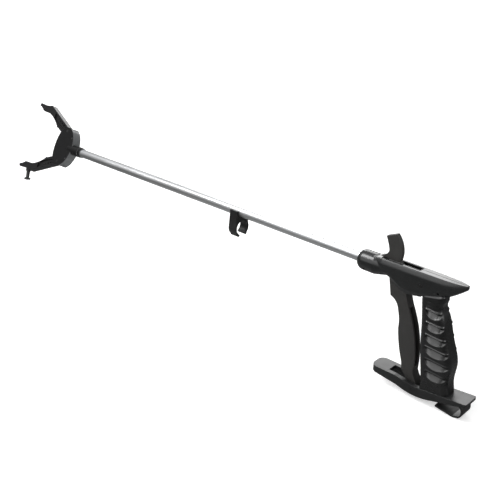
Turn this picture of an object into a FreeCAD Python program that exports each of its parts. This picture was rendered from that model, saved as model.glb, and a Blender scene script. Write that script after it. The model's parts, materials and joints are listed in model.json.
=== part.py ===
import FreeCAD, Part
import math
import os

import Sketcher

# Reacher grabber: a hand-held reaching aid with a pistol grip, a trigger, a slim tube and a
# turning head with two jaws. Lengths are in millimetres, angles in degrees.
#
# The part's origin is the centre of the walking-frame clip's bore. The tube runs along X with
# the jaws toward -X, +Z is up. Handle pieces are drawn from the centre of the nose's front face
# (x rearward, z up from the tube's axis). Head pieces use the same axes, turned about the tube
# by head_roll, so their second axis points along the row of the two jaw pins.

DIMENSIONS = (
    # where things stand along the tube
    ("clip_to_nose", 193.3, "centre of the walking-frame clip to the housing's front face"),
    ("tube_show", 541.0, "length of bare tube between head collar and housing"),
    ("head_roll", 30.0, "turn of the head about the tube at rest"),
    # tube
    ("tube_dia", 12.7, "outside diameter of the tube, half an inch"),
    ("tube_wall", 1.2, "wall of the tube"),
    ("tube_in_hull", 33.0, "length of tube inside the housing"),
    ("tube_in_head", 16.0, "length of tube inside the head, collar included"),
    ("running_gap", 0.05, "radial gap of pins and bores that turn or slide"),
    # pull rod
    ("rod_dia", 3.0, "diameter of the pull rod"),
    ("guide_length", 12.0, "length of each rod guide"),
    ("guide_gap", 0.1, "radial gap between rod guide and tube"),
    ("guide_front_inset", 46.0, "front guide to the tube's front end"),
    ("guide_rear_inset", 90.0, "rear guide to the housing's front face"),
    ("eye_radius", 2.9, "radius of the rod's eye block"),
    ("eye_half_width", 2.3, "half width of the eye block"),
    ("eye_shank", 7.7, "eye block, from its pin to its front end"),
    ("eye_shank_half", 2.2, "half height of the eye block's shank"),
    ("eye_socket", 4.0, "depth of the rod's socket in the eye block"),
    ("trunnion_dia", 3.5, "diameter of the cross pin in the eye block"),
    ("trunnion_inset", 0.2, "cross pin end, below the trigger's side face"),
    # trigger: pivot and lever line
    ("pivot_x", 88.0, "trigger pivot behind the housing's front face"),
    ("pivot_drop", 131.0, "trigger pivot below the tube's axis"),
    ("lever_lean", 16.3, "lean of the line from pivot to cross pin at rest"),
    ("trigger_travel", 8.481, "angle that the trigger turns from open to closed"),
    ("trigger_pin_dia", 4.0, "diameter of the trigger's pivot pin"),
    # trigger: finger lever
    ("trigger_half_width", 5.6, "half width of the finger lever"),
    ("trigger_top", 3.3, "front of the finger lever's top above the tube's axis"),
    ("trigger_top_rise", 2.8, "rise of the lever's top toward the rear"),
    ("trigger_depth", 20.0, "depth of the finger lever at its top"),
    ("trigger_front_inset", 7.7, "cross pin to the front of the lever's top"),
    ("shoulder_drop", 30.0, "finger shoulder's upper end below the tube's axis"),
    ("shoulder_run", 5.5, "finger shoulder's upper end behind the lever's top front"),
    ("shoulder_height", 13.0, "height of the finger shoulder"),
    ("shoulder_depth", 11.0, "depth of the finger shoulder"),
    ("shoulder_radius", 16.0, "hollow radius of the finger shoulder"),
    ("finger_hollow_height", 23.0, "height of the upper finger hollow"),
    ("finger_hollow_run", 2.5, "rearward run of the upper finger hollow"),
    ("finger_hollow_radius", 60.0, "radius of the upper finger hollow"),
    ("finger_swell_height", 40.0, "height of the lower finger swell"),
    ("finger_swell_run", 8.0, "rearward run of the lower finger swell"),
    ("finger_swell_radius", 160.0, "radius of the lower finger swell"),
    ("foot_front_rise", 15.0, "front corner of the trigger's foot above its pivot"),
    ("foot_front_run", 18.0, "front corner of the trigger's foot ahead of its pivot"),
    ("foot_rear_rise", 17.0, "rear corner of the trigger's foot above its pivot"),
    ("foot_rear_run", 3.4, "rear corner of the trigger's foot ahead of its pivot"),
    ("foot_radius", 4.5, "radius of the trigger's foot about its pivot"),
    ("trigger_back_drop", 36.0, "upper end of the lever's curved back below the axis"),
    ("trigger_back_run", 29.1, "upper end of the lever's curved back behind its top front"),
    ("trigger_back_radius", 150.0, "radius of the lever's curved back"),
    ("trigger_root_drop", 8.0, "straight part of the lever's back below the axis"),
    ("rod_window_half", 2.5, "half width of the rod's window through the lever"),
    ("rod_window_top", 3.2, "top of the rod's window above the axis"),
    ("rod_window_step", 0.7, "fall of the window's top ahead of the cross pin"),
    ("rod_window_drop", 9.5, "bottom of the rod's window below the axis"),
    ("trunnion_side_gap", 0.3, "gap beside and beyond the cross pin in its slots"),
    ("back_channel_half", 3.4, "half width of the channel down the lever's back"),
    ("back_channel_depth", 7.0, "depth of the channel down the lever's back"),
    ("back_channel_top", 38.0, "upper end of the back channel below the axis"),
    ("back_channel_foot", 24.0, "lower end of the back channel above the pivot"),
    # trigger: thumb tab
    ("tab_half_width", 2.6, "half width of the thumb tab"),
    ("tab_rise", 41.3, "rear corner of the tab's top above the axis"),
    ("tab_rear_run", 2.8, "rear corner of the tab's top ahead of the cross pin"),
    ("tab_depth", 12.6, "depth of the tab's top"),
    ("tab_tilt", 5.4, "fall of the tab's top toward the front"),
    ("tab_back_run", 4.2, "foot of the tab's curved back behind the cross pin"),
    ("tab_back_rise", 11.6, "foot of the tab's curved back above the axis"),
    ("tab_back_radius", 29.0, "radius of the tab's curved back"),
    ("tab_front_rise", 21.0, "foot of the tab's hollow front above the axis"),
    ("tab_front_run", 10.4, "foot of the tab's hollow front ahead of the cross pin"),
    ("tab_front_radius", 60.0, "radius of the tab's hollow front"),
    ("skirt_run", 19.7, "tip of the tab's skirt ahead of the cross pin"),
    ("skirt_radius", 11.0, "hollow radius where the skirt leaves the tab"),
    ("skirt_thick", 0.9, "thickness of the skirt at its tip"),
    ("skirt_gap", 0.5, "gap between skirt and deck"),
    ("tab_root_inset", 1.5, "tab's root behind the front of the lever's top"),
    # housing
    ("nose_radius", 11.9, "radius of the round nose"),
    ("nose_drop", 1.9, "centre of the round nose below the tube's axis"),
    ("nose_round", 9.0, "rounding of the nose's front edge"),
    ("nose_straight", 24.0, "length of the nose before it tapers"),
    ("nose_end", 38.0, "where the tapering nose ends"),
    ("nose_end_radius", 8.6, "radius of the nose at its tapered end"),
    ("deck_rise", 10.4, "deck above the tube's axis"),
    ("deck_half_width", 6.3, "half width of the deck"),
    ("hull_side_radius", 13.0, "radius of the housing's rounded upper sides"),
    ("hull_side_rise", 2.0, "lower end of the rounded sides above the axis"),
    ("deck_thick", 1.25, "thickness of the deck over the mechanism"),
    ("cheek_half_width", 9.6, "half width of the housing across its cheeks"),
    ("hull_throat", 9.0, "bottom of the housing ahead of the trigger, below the axis"),
    ("hull_depth", 18.2, "deepest point of the cheeks below the axis"),
    ("hull_keel_half", 8.2, "half width of the cheeks' lower edge"),
    ("hull_length", 134.5, "length of the housing"),
    ("hull_tail_rise", 10.2, "deck's rise above the axis at the tail tip"),
    ("bay_half_width", 6.2, "half width of the trigger's bay inside the housing"),
    ("bay_front", 38.2, "front wall of the trigger's bay"),
    ("bay_length", 53.8, "length of the trigger's bay"),
    ("slot_half_width", 3.3, "half width of the deck slot"),
    ("slot_length", 41.3, "length of the deck slot"),
    ("hull_pin_x", 84.5, "housing pin behind the housing's front face"),
    ("hull_pin_drop", 4.2, "housing pin below the tube's axis"),
    ("hull_pin_dia", 4.0, "diameter of the housing pin"),
    ("hull_pin_half", 9.6, "half length of the housing pin"),
    ("seat_front_x", 86.0, "front end of the grip's seat under the housing"),
    ("seat_front_drop", 15.6, "front end of the grip's seat below the axis"),
    ("seat_rear_x", 120.0, "rear end of the grip's seat"),
    ("seat_rear_drop", 8.2, "rear end of the grip's seat below the axis"),
    # grip
    ("tang_front", 97.0, "front face of the grip's tang"),
    ("tang_length", 18.0, "length of the tang"),
    ("tang_half_width", 4.0, "half width of the tang"),
    ("tang_top_drop", 3.0, "top of the tang below the axis"),
    ("grip_front_x", 87.0, "front of the grip at its top"),
    ("grip_lean", 9.0, "how far the grip's front leans rearward down to its foot"),
    ("grip_top_depth", 25.0, "depth of the grip at its top, front to back"),
    ("grip_neck_depth", 22.5, "depth of the grip at its neck"),
    ("grip_mid_depth", 32.0, "depth of the grip at mid height"),
    ("grip_full_depth", 37.4, "greatest depth of the grip"),
    ("grip_low_depth", 32.6, "depth of the grip above its foot"),
    ("grip_foot_depth", 37.0, "depth of the grip's foot"),
    ("grip_half_width", 11.8, "greatest half width of the grip"),
    ("grip_neck_half", 10.2, "half width of the grip at its neck"),
    ("grip_top_half", 8.0, "half width of the grip where it enters the housing"),
    ("grip_foot_half", 9.6, "half width of the grip's foot"),
    ("rib_first_drop", 33.0, "top face of the first side rib below the axis"),
    ("rib_pitch", 14.2, "spacing of the side ribs"),
    ("rib_count", 6.0, "number of side ribs"),
    ("pocket_height", 7.2, "height of the hollow above each rib"),
    ("pocket_sag", 1.2, "sag of each rib's top face"),
    ("pocket_front_wall", 9.5, "grip's front to the hollows at the neck"),
    ("pocket_back_wall", 3.0, "hollows to the grip's back at the neck"),
    ("grip_front_corner", 5.0, "corner radius of the grip's front"),
    ("grip_back_corner", 6.5, "corner radius of the grip's back"),
    ("grip_web_half", 3.0, "half thickness of the web between the hollows"),
    # base plate
    ("plate_front_x", 33.0, "front end of the base plate"),
    ("plate_length", 122.0, "length of the base plate"),
    ("plate_half_width", 11.5, "half width of the base plate"),
    ("plate_top_drop", 123.2, "base plate's top at its front end, below the axis"),
    ("plate_flat_run", 32.0, "front end to the end of the plate's level top"),
    ("plate_dip", 3.3, "fall of the plate's top to the trigger"),
    ("plate_dip_run", 59.0, "front end to the lowest line of the plate's top"),
    ("plate_rise", 7.0, "rise of the plate's top from there to the rear edge"),
    ("plate_front_thick", 7.4, "thickness of the plate's front end"),
    ("plate_rear_thick", 3.2, "thickness of the plate's rear edge"),
    ("belly_front_run", 36.0, "front end to the front of the plate's belly"),
    ("belly_front_drop", 11.4, "front of the belly below the plate's front top"),
    ("belly_rear_run", 79.0, "front end to the rear of the plate's belly"),
    ("belly_rear_drop", 11.6, "rear of the belly below the plate's front top"),
    ("belly_radius", 70.0, "radius of the belly"),
    ("plate_corner", 8.0, "corner radius of the plate's front end, seen from above"),
    ("plate_rear_corner", 2.5, "corner radius of the plate's rear edge, seen from above"),
    ("foot_bay_front", 33.0, "trigger pivot to the front of its bay in the plate"),
    ("foot_bay_rear", 7.8, "trigger pivot to the rear of its bay"),
    ("foot_bay_lip", 4.5, "depth of the bay at its front end"),
    ("foot_bay_depth", 5.2, "floor of the bay below the pivot"),
    ("foot_bay_half", 6.1, "half width of the bay"),
    # belt clip
    ("belt_clip_half", 9.0, "half width of the belt clip"),
    ("belt_clip_thick", 2.1, "thickness of the belt clip"),
    ("belt_clip_from", 18.0, "upper leg's front edge ahead of the bend's start"),
    ("belt_clip_rear", 8.0, "bend's start ahead of the plate's rear edge"),
    ("belt_clip_fall", 16.5, "height of the bend"),
    ("belt_clip_bend", 10.5, "outer radius of the bend"),
    ("belt_clip_heel", 7.0, "lower leg's straight heel"),
    ("belt_clip_heel_drop", 2.0, "drop of the heel"),
    ("belt_clip_tail", 22.0, "lower leg, from its heel to its tip"),
    ("belt_clip_tail_rise", 3.0, "rise of the lower leg to its tip"),
    # walking-frame clip
    ("frame_tube_dia", 19.05, "walking-aid tube that the clip snaps onto, three quarters of an inch"),
    ("frame_clip_wall", 2.4, "wall of the frame clip"),
    ("frame_clip_web", 5.68, "web of the frame clip between the two tubes"),
    ("frame_clip_ear", 3.0, "top of the clip's ears above the reacher tube's axis"),
    ("frame_clip_length", 13.0, "length of the frame clip along the tube"),
    ("frame_clip_mouth", 13.0, "width of the clip's mouth"),
    ("frame_clip_lip", 1.8, "radius of the rolled lips at the mouth"),
    ("frame_clip_gap", 0.08, "radial gap between frame clip and reacher tube"),
    # head: pivots and crossing levers
    ("pin_setback", 49.0, "jaw pins ahead of the collar's rear face"),
    ("jaw_pin_height", 25.5, "jaw pins from the tube's axis"),
    ("jaw_pin_dia", 4.0, "diameter of the jaw pins"),
    ("jaw_swing", 28.5, "angle that each jaw turns from open to closed"),
    ("cross_pin_height", 14.5, "crosshead pins from the tube's axis"),
    ("cross_pin_dia", 3.0, "diameter of the crosshead pins"),
    ("layer_gap", 0.3, "gap between crosshead, levers and head plates"),
    ("crosshead_half", 1.4, "half thickness of the crosshead's bar"),
    ("jaw_half_width", 4.8, "half width of the jaws"),
    ("lever_half_height", 3.2, "half height of the jaw levers"),
    ("fork_gap", 0.15, "gap beside the crosshead pin in the lever's fork"),
    ("lever_end", 1.2, "lever fork past the crosshead pin at full swing"),
    ("hub_radius", 4.0, "radius of the jaw's hub"),
    # head: shells
    ("head_half_thick", 7.4, "half thickness of the head"),
    ("head_plate", 2.3, "thickness of each head plate"),
    ("head_rear_height", 27.0, "rear corners of the head from the axis"),
    ("head_rear_run", 15.0, "rear corners of the head behind the jaw pins"),
    ("head_rear_bulge", 11.0, "bulge of the head's rear wall"),
    ("head_rear_wall", 5.5, "thickness of the head's rear wall"),
    ("head_side_height", 31.5, "top of the head from the axis"),
    ("head_side_back", 8.0, "rear end of the head's top behind the jaw pins"),
    ("head_side_front", 6.0, "front end of the head's top ahead of the jaw pins"),
    ("head_front_height", 20.0, "front corners of the head from the axis"),
    ("head_front_run", 16.0, "front corners of the head ahead of the jaw pins"),
    ("head_front_bulge", 3.0, "bulge of the head's front edge"),
    ("collar_length", 6.0, "length of the head collar"),
    ("collar_radius", 7.4, "radius of the head collar"),
    ("neck_radius", 8.2, "radius of the shells' neck round the tube"),
    ("head_gap", 0.1, "radial gap between head and tube"),
    ("ring_radius", 7.2, "radius of the retaining ring on the tube"),
    ("ring_width", 3.0, "width of the retaining ring"),
    ("ring_setback", 2.0, "retaining ring behind the tube's front end"),
    ("ring_gap", 0.25, "gap beside the retaining ring in its groove"),
    # crosshead
    ("bar_half_depth", 3.0, "half depth of the crosshead's bar"),
    ("bar_half_height", 17.0, "half height of the crosshead's bar"),
    ("boss_setback", 9.5, "crosshead boss behind its pins"),
    ("boss_length", 12.0, "length of the crosshead boss"),
    ("boss_radius", 4.4, "radius of the crosshead boss"),
    ("swivel_setback", 15.4, "swivel button behind the crosshead's pins"),
    ("swivel_radius", 2.5, "radius of the swivel button"),
    ("swivel_length", 3.0, "length of the swivel button"),
    ("swivel_gap", 0.2, "gap round the swivel button in the boss"),
    # jaws
    ("jaw_outer_run", 9.0, "start of the jaw's straight outer edge ahead of its pin"),
    ("jaw_outer_rise", 7.8, "start of the outer edge outward of the pin"),
    ("knuckle_run", 66.5, "outer knuckle ahead of the pin"),
    ("knuckle_rise", 32.0, "outer knuckle outward of the pin"),
    ("knuckle_hollow", 80.0, "radius of the hollow from knuckle to tip"),
    ("tip_run", 99.0, "tip's outer corner ahead of the pin"),
    ("tip_rise", 31.0, "tip's outer corner outward of the pin"),
    ("tip_lead", 2.5, "tip's inner corner ahead of its outer corner"),
    ("tip_face", 4.5, "width of the tip's face"),
    ("heel_run", 87.0, "inner knuckle ahead of the pin"),
    ("heel_rise", 20.3, "inner knuckle outward of the pin"),
    ("heel_length", 14.0, "length of the inner knuckle"),
    ("heel_radius", 20.0, "radius of the inner knuckle"),
    ("hollow_radius", 80.0, "radius of the jaw's hollow inner edge"),
    ("bump_run", 31.0, "inner bump ahead of the pin"),
    ("bump_rise", 1.8, "inner bump outward of the pin"),
    ("bump_radius", 3.0, "radius of the inner bump"),
    ("bump_width", 4.0, "width of the inner bump"),
    ("root_run", 20.0, "inner root ahead of the pin"),
    ("root_drop", 4.2, "inner root inward of the pin"),
    ("jaw_flange", 2.6, "thickness of the jaw's outer flange"),
    ("jaw_rim", 2.4, "thickness of the jaw's inner rim"),
    ("jaw_web_half", 2.4, "half thickness of the jaw's web"),
    ("recess_start", 9.0, "side recess's rear end ahead of the pin"),
    ("recess_end", 50.0, "side recess's front end ahead of the pin"),
    ("hole_count", 5.0, "number of holes in the jaw's web"),
    ("hole_first", 14.0, "first hole ahead of the pin"),
    ("hole_pitch", 6.2, "spacing of the holes along the tube's direction"),
    ("hole_inset", 6.0, "holes inward of the outer edge"),
    ("hole_first_radius", 2.1, "radius of the first hole"),
    ("hole_shrink", 0.25, "how much each next hole's radius is smaller"),
    # dressing peg
    ("peg_run", 76.0, "peg ahead of the jaw pin"),
    ("peg_spigot_radius", 2.2, "radius of the peg's spigot in the jaw"),
    ("peg_spigot_depth", 5.0, "depth of the peg's spigot in the jaw"),
    ("peg_rise", 33.2, "peg's shoulder outward of the jaw pin"),
    ("peg_lean", 20.0, "rearward lean of the peg"),
    ("peg_boss_radius", 4.2, "radius of the boss that carries the peg"),
    ("peg_radius", 3.4, "radius of the peg at its shoulder"),
    ("peg_waist", 2.9, "radius of the peg at its waist"),
    ("peg_neck", 12.2, "peg's shoulder to the underside of its foot"),
    ("peg_foot_radius", 5.5, "radius of the peg's foot"),
    ("peg_foot_thick", 2.8, "thickness of the peg's foot"),
    ("magnet_radius", 3.4, "radius of the magnet"),
    ("magnet_thick", 1.5, "thickness of the magnet"),
    # return spring
    ("spring_rise", 2.5, "spring's axis above the tube's axis"),
    ("spring_radius", 3.0, "mean radius of the spring"),
    ("spring_wire", 0.8, "diameter of the spring's wire"),
    ("spring_turns", 8.0, "turns of the spring"),
    # screws
    ("screw_dia", 2.8, "diameter of the small screws"),
    ("screw_head_radius", 2.7, "radius of the small screws' heads"),
    ("screw_head_thick", 1.7, "thickness of the small screws' heads"),
    ("screw_slot", 0.7, "width of the cross slot in a screw's head"),
    ("screw_slot_depth", 0.8, "depth of the cross slot in a screw's head"),
    ("tube_screw_x", 18.0, "tube screw behind the housing's front face"),
    ("tube_screw_drop", 12.0, "tube screw's head seat below the axis"),
    ("hull_screw_front_x", 12.5, "front housing screw behind the front face"),
    ("hull_screw_front_drop", 8.4, "front housing screw below the axis"),
    ("hull_screw_rear_x", 106.0, "rear housing screw behind the front face"),
    ("hull_screw_rear_drop", 6.2, "rear housing screw below the axis"),
    ("hull_screw_front_seat", 3.6, "seat of the front screw's head from the middle plane"),
    ("hull_screw_rear_seat", 5.4, "seat of the rear screw's head from the middle plane"),
    ("hull_screw_reach", 5.0, "reach of the housing screws past the middle plane"),
    ("grip_screw_front_x", 106.0, "front grip screw behind the housing's front face"),
    ("grip_screw_front_drop", 133.5, "front grip screw's seat below the axis"),
    ("grip_screw_rear_x", 126.0, "rear grip screw behind the housing's front face"),
    ("grip_screw_rear_drop", 128.0, "rear grip screw's seat below the axis"),
    ("grip_screw_length", 18.0, "length of the grip screws"),
    ("clip_screw_ahead", 12.0, "belt clip screw ahead of the plate's rear edge"),
    ("clip_screw_drop", 129.1, "belt clip screw's seat below the axis"),
    ("clip_screw_length", 6.4, "length of the belt clip screw"),
    ("head_screw_height", 17.0, "head screws from the tube's axis"),
    ("head_screw_seat", 5.7, "seat of the head screws' heads from the middle plane"),
    ("head_screw_reach", 5.6, "reach of the head screws past the middle plane"),
)


class Size:
    """A number together with the spreadsheet expression that gives it."""

    def __init__(self, value, text):
        self.value = float(value)
        self.text = text

    def __add__(self, other):
        other = as_size(other)
        return Size(self.value + other.value, f"({self.text} + {other.text})")

    def __radd__(self, other):
        return as_size(other) + self

    def __sub__(self, other):
        other = as_size(other)
        return Size(self.value - other.value, f"({self.text} - {other.text})")

    def __rsub__(self, other):
        return as_size(other) - self

    def __mul__(self, other):
        other = as_size(other)
        return Size(self.value * other.value, f"({self.text} * {other.text})")

    def __rmul__(self, other):
        return as_size(other) * self

    def __truediv__(self, other):
        other = as_size(other)
        return Size(self.value / other.value, f"({self.text} / {other.text})")

    def __neg__(self):
        return Size(-self.value, f"(-1 * {self.text})")


def as_size(number):
    """Return the number as a Size, so that plain numbers and Sizes mix."""
    if isinstance(number, Size):
        return number
    return Size(number, f"({float(number)!r})")


def sine(angle):
    return Size(math.sin(math.radians(angle.value)), f"sin({angle.text} * 1 deg)")


def cosine(angle):
    return Size(math.cos(math.radians(angle.value)), f"cos({angle.text} * 1 deg)")


def tangent(angle):
    return sine(angle) / cosine(angle)


def line_at(start, end, x):
    """Height at x of the straight line through two (x, z) points."""
    slope = (end[1] - start[1]) / (end[0] - start[0])
    return start[1] + slope * (x - start[0])


class Sheet:
    """The driving dimensions, each an attribute that holds its Size."""

    def __init__(self, document):
        sheet = document.addObject("Spreadsheet::Sheet", "Sizes")
        for row, (name, value, meaning) in enumerate(DIMENSIONS, start=1):
            sheet.set(f"A{row}", str(value))
            sheet.setAlias(f"A{row}", name)
            sheet.set(f"B{row}", meaning)
            setattr(self, name, Size(value, f"Sizes.{name}"))
        document.recompute()


doc = FreeCAD.newDocument("reacher_grabber")
d = Sheet(doc)

# heights and stations that several pieces share
TUBE_RADIUS = d.tube_dia / 2
TUBE_BORE = TUBE_RADIUS - d.tube_wall
FRAME_TUBE_RADIUS = d.frame_tube_dia / 2
TUBE_RISE = TUBE_RADIUS + d.frame_clip_gap + d.frame_clip_web + FRAME_TUBE_RADIUS
COLLAR_REAR = -d.tube_show
TUBE_FRONT = COLLAR_REAR - d.tube_in_head
JAW_PIN_X = COLLAR_REAR - d.pin_setback
HALF_SWING = d.jaw_swing / 2
LEVER_DROP = d.jaw_pin_height + d.cross_pin_height
CROSS_PIN_X = JAW_PIN_X - LEVER_DROP * tangent(HALF_SWING)
TRUNNION_X = d.pivot_x - d.pivot_drop * tangent(d.lever_lean)
TRIGGER_FRONT = TRUNNION_X - d.trigger_front_inset
TRIGGER_REAR = TRIGGER_FRONT + d.trigger_depth
SEAT_FRONT = (d.seat_front_x, -d.seat_front_drop)
SEAT_REAR = (d.seat_rear_x, -d.seat_rear_drop)
PLATE_REAR_X = d.plate_front_x + d.plate_length
PLATE_LOW = (d.plate_front_x + d.plate_dip_run, -(d.plate_top_drop + d.plate_dip))
PLATE_REAR = (PLATE_REAR_X, -(d.plate_top_drop + d.plate_dip) + d.plate_rise)
BELLY_REAR = (d.plate_front_x + d.belly_rear_run, -(d.plate_top_drop + d.belly_rear_drop))
PLATE_REAR_LOW = (PLATE_REAR_X, PLATE_REAR[1] - d.plate_rear_thick)
LEVER_INNER = d.crosshead_half + d.layer_gap
BIG = 60.0

PIECES = []


def bind(thing, prop, size):
    """Tie one property of an object to the expression of a Size."""
    thing.setExpression(prop, as_size(size).text)


def new_body(label, in_head=False):
    """Start a sub-part drawn from the nose's front face, turned about the tube in the head."""
    body = doc.addObject("PartDesign::Body", label)
    body.Label = label
    turn = FreeCAD.Rotation(FreeCAD.Vector(-1, 0, 0), d.head_roll.value if in_head else 0.0)
    place = FreeCAD.Vector(d.clip_to_nose.value, 0, TUBE_RISE.value)
    body.Placement = FreeCAD.Placement(place, turn)
    bind(body, "Placement.Base.x", d.clip_to_nose)
    bind(body, "Placement.Base.z", TUBE_RISE)
    if in_head:
        bind(body, "Placement.Rotation.Angle", d.head_roll)
    PIECES.append(body)
    return body


def origin_feature(body, role):
    """Return the body's own plane or axis of that role."""
    return [item for item in body.Origin.OriginFeatures if item.Role == role][0]


def sketch_on(body, role, x=0, y=0, lift=0, turn=0):
    """Add a sketch on one of the body's origin planes, shifted in it, lifted off it and turned."""
    sketch = body.newObject("Sketcher::SketchObject", "Sketch")
    sketch.AttachmentSupport = [(origin_feature(body, role), "")]
    sketch.MapMode = "FlatFace"
    shift = [as_size(value) for value in (x, y, lift)]
    angle = as_size(turn)
    rotation = FreeCAD.Rotation(FreeCAD.Vector(0, 0, 1 if angle.value >= 0 else -1), abs(angle.value))
    base = FreeCAD.Vector(*[value.value for value in shift])
    sketch.AttachmentOffset = FreeCAD.Placement(base, rotation)
    for axis, value in zip("xyz", shift):
        bind(sketch, f"AttachmentOffset.Base.{axis}", value)
    if angle.value:
        bind(sketch, "AttachmentOffset.Rotation.Angle", angle if angle.value > 0 else -angle)
    return sketch


def arc_between(start, end, radius):
    """Arc from start to end: positive radius bulges to the right of the way, negative to the left."""
    (x0, y0), (x1, y1) = start, end
    half = math.hypot(x1 - x0, y1 - y0) / 2
    reach = math.sqrt(max(radius * radius - half * half, 0.0))
    side = math.copysign(reach / (2 * half), radius)
    centre_x = (x0 + x1) / 2 - (y1 - y0) * side
    centre_y = (y0 + y1) / 2 + (x1 - x0) * side
    ends = [(x0, y0), (x1, y1)] if radius > 0 else [(x1, y1), (x0, y0)]
    angles = [math.atan2(y - centre_y, x - centre_x) for x, y in ends]
    centre = FreeCAD.Vector(centre_x, centre_y, 0)
    circle = Part.Circle(centre, FreeCAD.Vector(0, 0, 1), abs(radius))
    return Part.ArcOfCircle(circle, angles[0], angles[1])


def draw(sketch, path):
    """Draw a closed outline of (x, y) corners; a third value makes the edge to that corner an arc."""
    corners = [tuple(as_size(value) for value in item[:2]) for item in path]
    radii = [as_size(item[2]) if len(item) == 3 else None for item in path]
    count = len(path)
    first = sketch.GeometryCount
    starts = []
    ends = []
    for index in range(count):
        following = (index + 1) % count
        here = tuple(size.value for size in corners[index])
        there = tuple(size.value for size in corners[following])
        radius = radii[following]
        if radius is None:
            edge = Part.LineSegment(FreeCAD.Vector(*here, 0), FreeCAD.Vector(*there, 0))
        else:
            edge = arc_between(here, there, radius.value)
        sketch.addGeometry(edge, False)
        backward = radius is not None and radius.value < 0
        starts.append(2 if backward else 1)
        ends.append(1 if backward else 2)
    for index in range(count):
        here = first + index
        before = first + (index - 1) % count
        point = (here, starts[index])
        join = (before, ends[(index - 1) % count])
        sketch.addConstraint(Sketcher.Constraint("Coincident", *join, *point))
        pin_point(sketch, point, corners[index])
    for index in range(count):
        radius = radii[(index + 1) % count]
        if radius is not None:
            size = radius if radius.value > 0 else -radius
            limit(sketch, "Radius", (first + index,), size)


def pin_point(sketch, point, corner):
    """Fix a point of a sketch at two distances from the sketch's origin."""
    for kind, size in zip(("DistanceX", "DistanceY"), corner):
        limit(sketch, kind, (-1, 1) + point, size)


def limit(sketch, kind, where, size):
    """Add one dimension to a sketch and tie it to the sheet."""
    number = sketch.addConstraint(Sketcher.Constraint(kind, *where, size.value))
    bind(sketch, f"Constraints[{number}]", size)


def draw_circle(sketch, x, y, radius):
    x, y, radius = as_size(x), as_size(y), as_size(radius)
    centre = FreeCAD.Vector(x.value, y.value, 0)
    number = sketch.addGeometry(Part.Circle(centre, FreeCAD.Vector(0, 0, 1), radius.value), False)
    pin_point(sketch, (number, 3), (x, y))
    limit(sketch, "Radius", (number,), radius)


def box_path(x0, y0, x1, y1):
    return [(x0, y0), (x1, y0), (x1, y1), (x0, y1)]


def slot_path(low, high, radius):
    """Upright slot with round ends; low and high are the centres of the ends."""
    return [
        (radius, low, radius),
        (radius, high),
        (0, high + radius, radius),
        (-radius, high, radius),
        (-radius, low),
        (0, low - radius, radius),
    ]


def mirrored(path, side):
    """Return the path, turned over across its x axis where side is -1."""
    if side > 0:
        return path
    return [(item[0], -as_size(item[1])) + tuple(-radius for radius in item[2:]) for item in path]


def feature(body, kind, sketch, **settings):
    """Add a PartDesign feature on a sketch; Sizes among the settings are bound to the sheet."""
    item = body.newObject(f"PartDesign::{kind}", kind)
    item.Profile = sketch
    for name, value in settings.items():
        if isinstance(value, Size):
            setattr(item, name, value.value)
            bind(item, name, value)
        else:
            setattr(item, name, value)
    doc.recompute()
    return item


def slab(body, path, half):
    """Pad an (x, z) outline to both sides of the middle plane."""
    sketch = sketch_on(body, "XZ_Plane")
    draw(sketch, path)
    return feature(body, "Pad", sketch, Length=as_size(half) * 2, SideType="Symmetric")


def cut_across(body, path, half):
    """Pocket an (x, z) outline to both sides of the middle plane."""
    sketch = sketch_on(body, "XZ_Plane")
    draw(sketch, path)
    return feature(body, "Pocket", sketch, Length=as_size(half) * 2, SideType="Symmetric")


def cut_half(body, path, depth, side):
    """Pocket an (x, z) outline from the middle plane into the half on that side of it."""
    sketch = sketch_on(body, "XZ_Plane")
    draw(sketch, path)
    return feature(body, "Pocket", sketch, Length=as_size(depth), Reversed=side < 0)


def hole_across(body, x, z, radius):
    """Drill a hole along y right through."""
    sketch = sketch_on(body, "XZ_Plane")
    draw_circle(sketch, x, z, radius)
    return feature(body, "Pocket", sketch, Length=as_size(BIG), SideType="Symmetric")


def hole_up(body, x, low, length, radius):
    """Drill a hole along z that starts at height low and runs up."""
    sketch = sketch_on(body, "XY_Plane", lift=low)
    draw_circle(sketch, x, 0, radius)
    return feature(body, "Pocket", sketch, Length=as_size(length), Reversed=True)


def turned(body, path, kind="Revolution", **settings):
    """Turn an (x, z) outline about the x axis, adding or cutting."""
    sketch = sketch_on(body, "XZ_Plane")
    draw(sketch, path)
    axis = (origin_feature(body, "X_Axis"), [""])
    return feature(body, kind, sketch, ReferenceAxis=axis, **settings)


def rod_piece(label, start, length, radius, bore=None, in_head=False):
    """A round bar or bush along the tube's axis."""
    body = new_body(label, in_head)
    sketch = sketch_on(body, "YZ_Plane", lift=start)
    draw_circle(sketch, 0, 0, radius)
    if bore is not None:
        draw_circle(sketch, 0, 0, bore)
    feature(body, "Pad", sketch, Length=as_size(length))
    return body


def cross_piece(label, x, z, radius, low, high, in_head=False):
    """A round pin along y from low to high."""
    body = new_body(label, in_head)
    sketch = sketch_on(body, "XZ_Plane", lift=-as_size(high))
    draw_circle(sketch, x, z, radius)
    feature(body, "Pad", sketch, Length=as_size(high) - as_size(low))
    return body


def round_edges(body, radius, chosen):
    """Fillet the edges of the body's tip whose middle point and box pass the test."""
    base = body.Tip
    names = []
    for number, edge in enumerate(base.Shape.Edges, start=1):
        middle = edge.valueAt((edge.FirstParameter + edge.LastParameter) / 2)
        if chosen(middle, edge.BoundBox):
            names.append(f"Edge{number}")
    item = body.newObject("PartDesign::Fillet", "Fillet")
    item.Base = (base, names)
    bind(item, "Radius", radius)
    item.Radius = as_size(radius).value
    doc.recompute()
    return item


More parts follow.
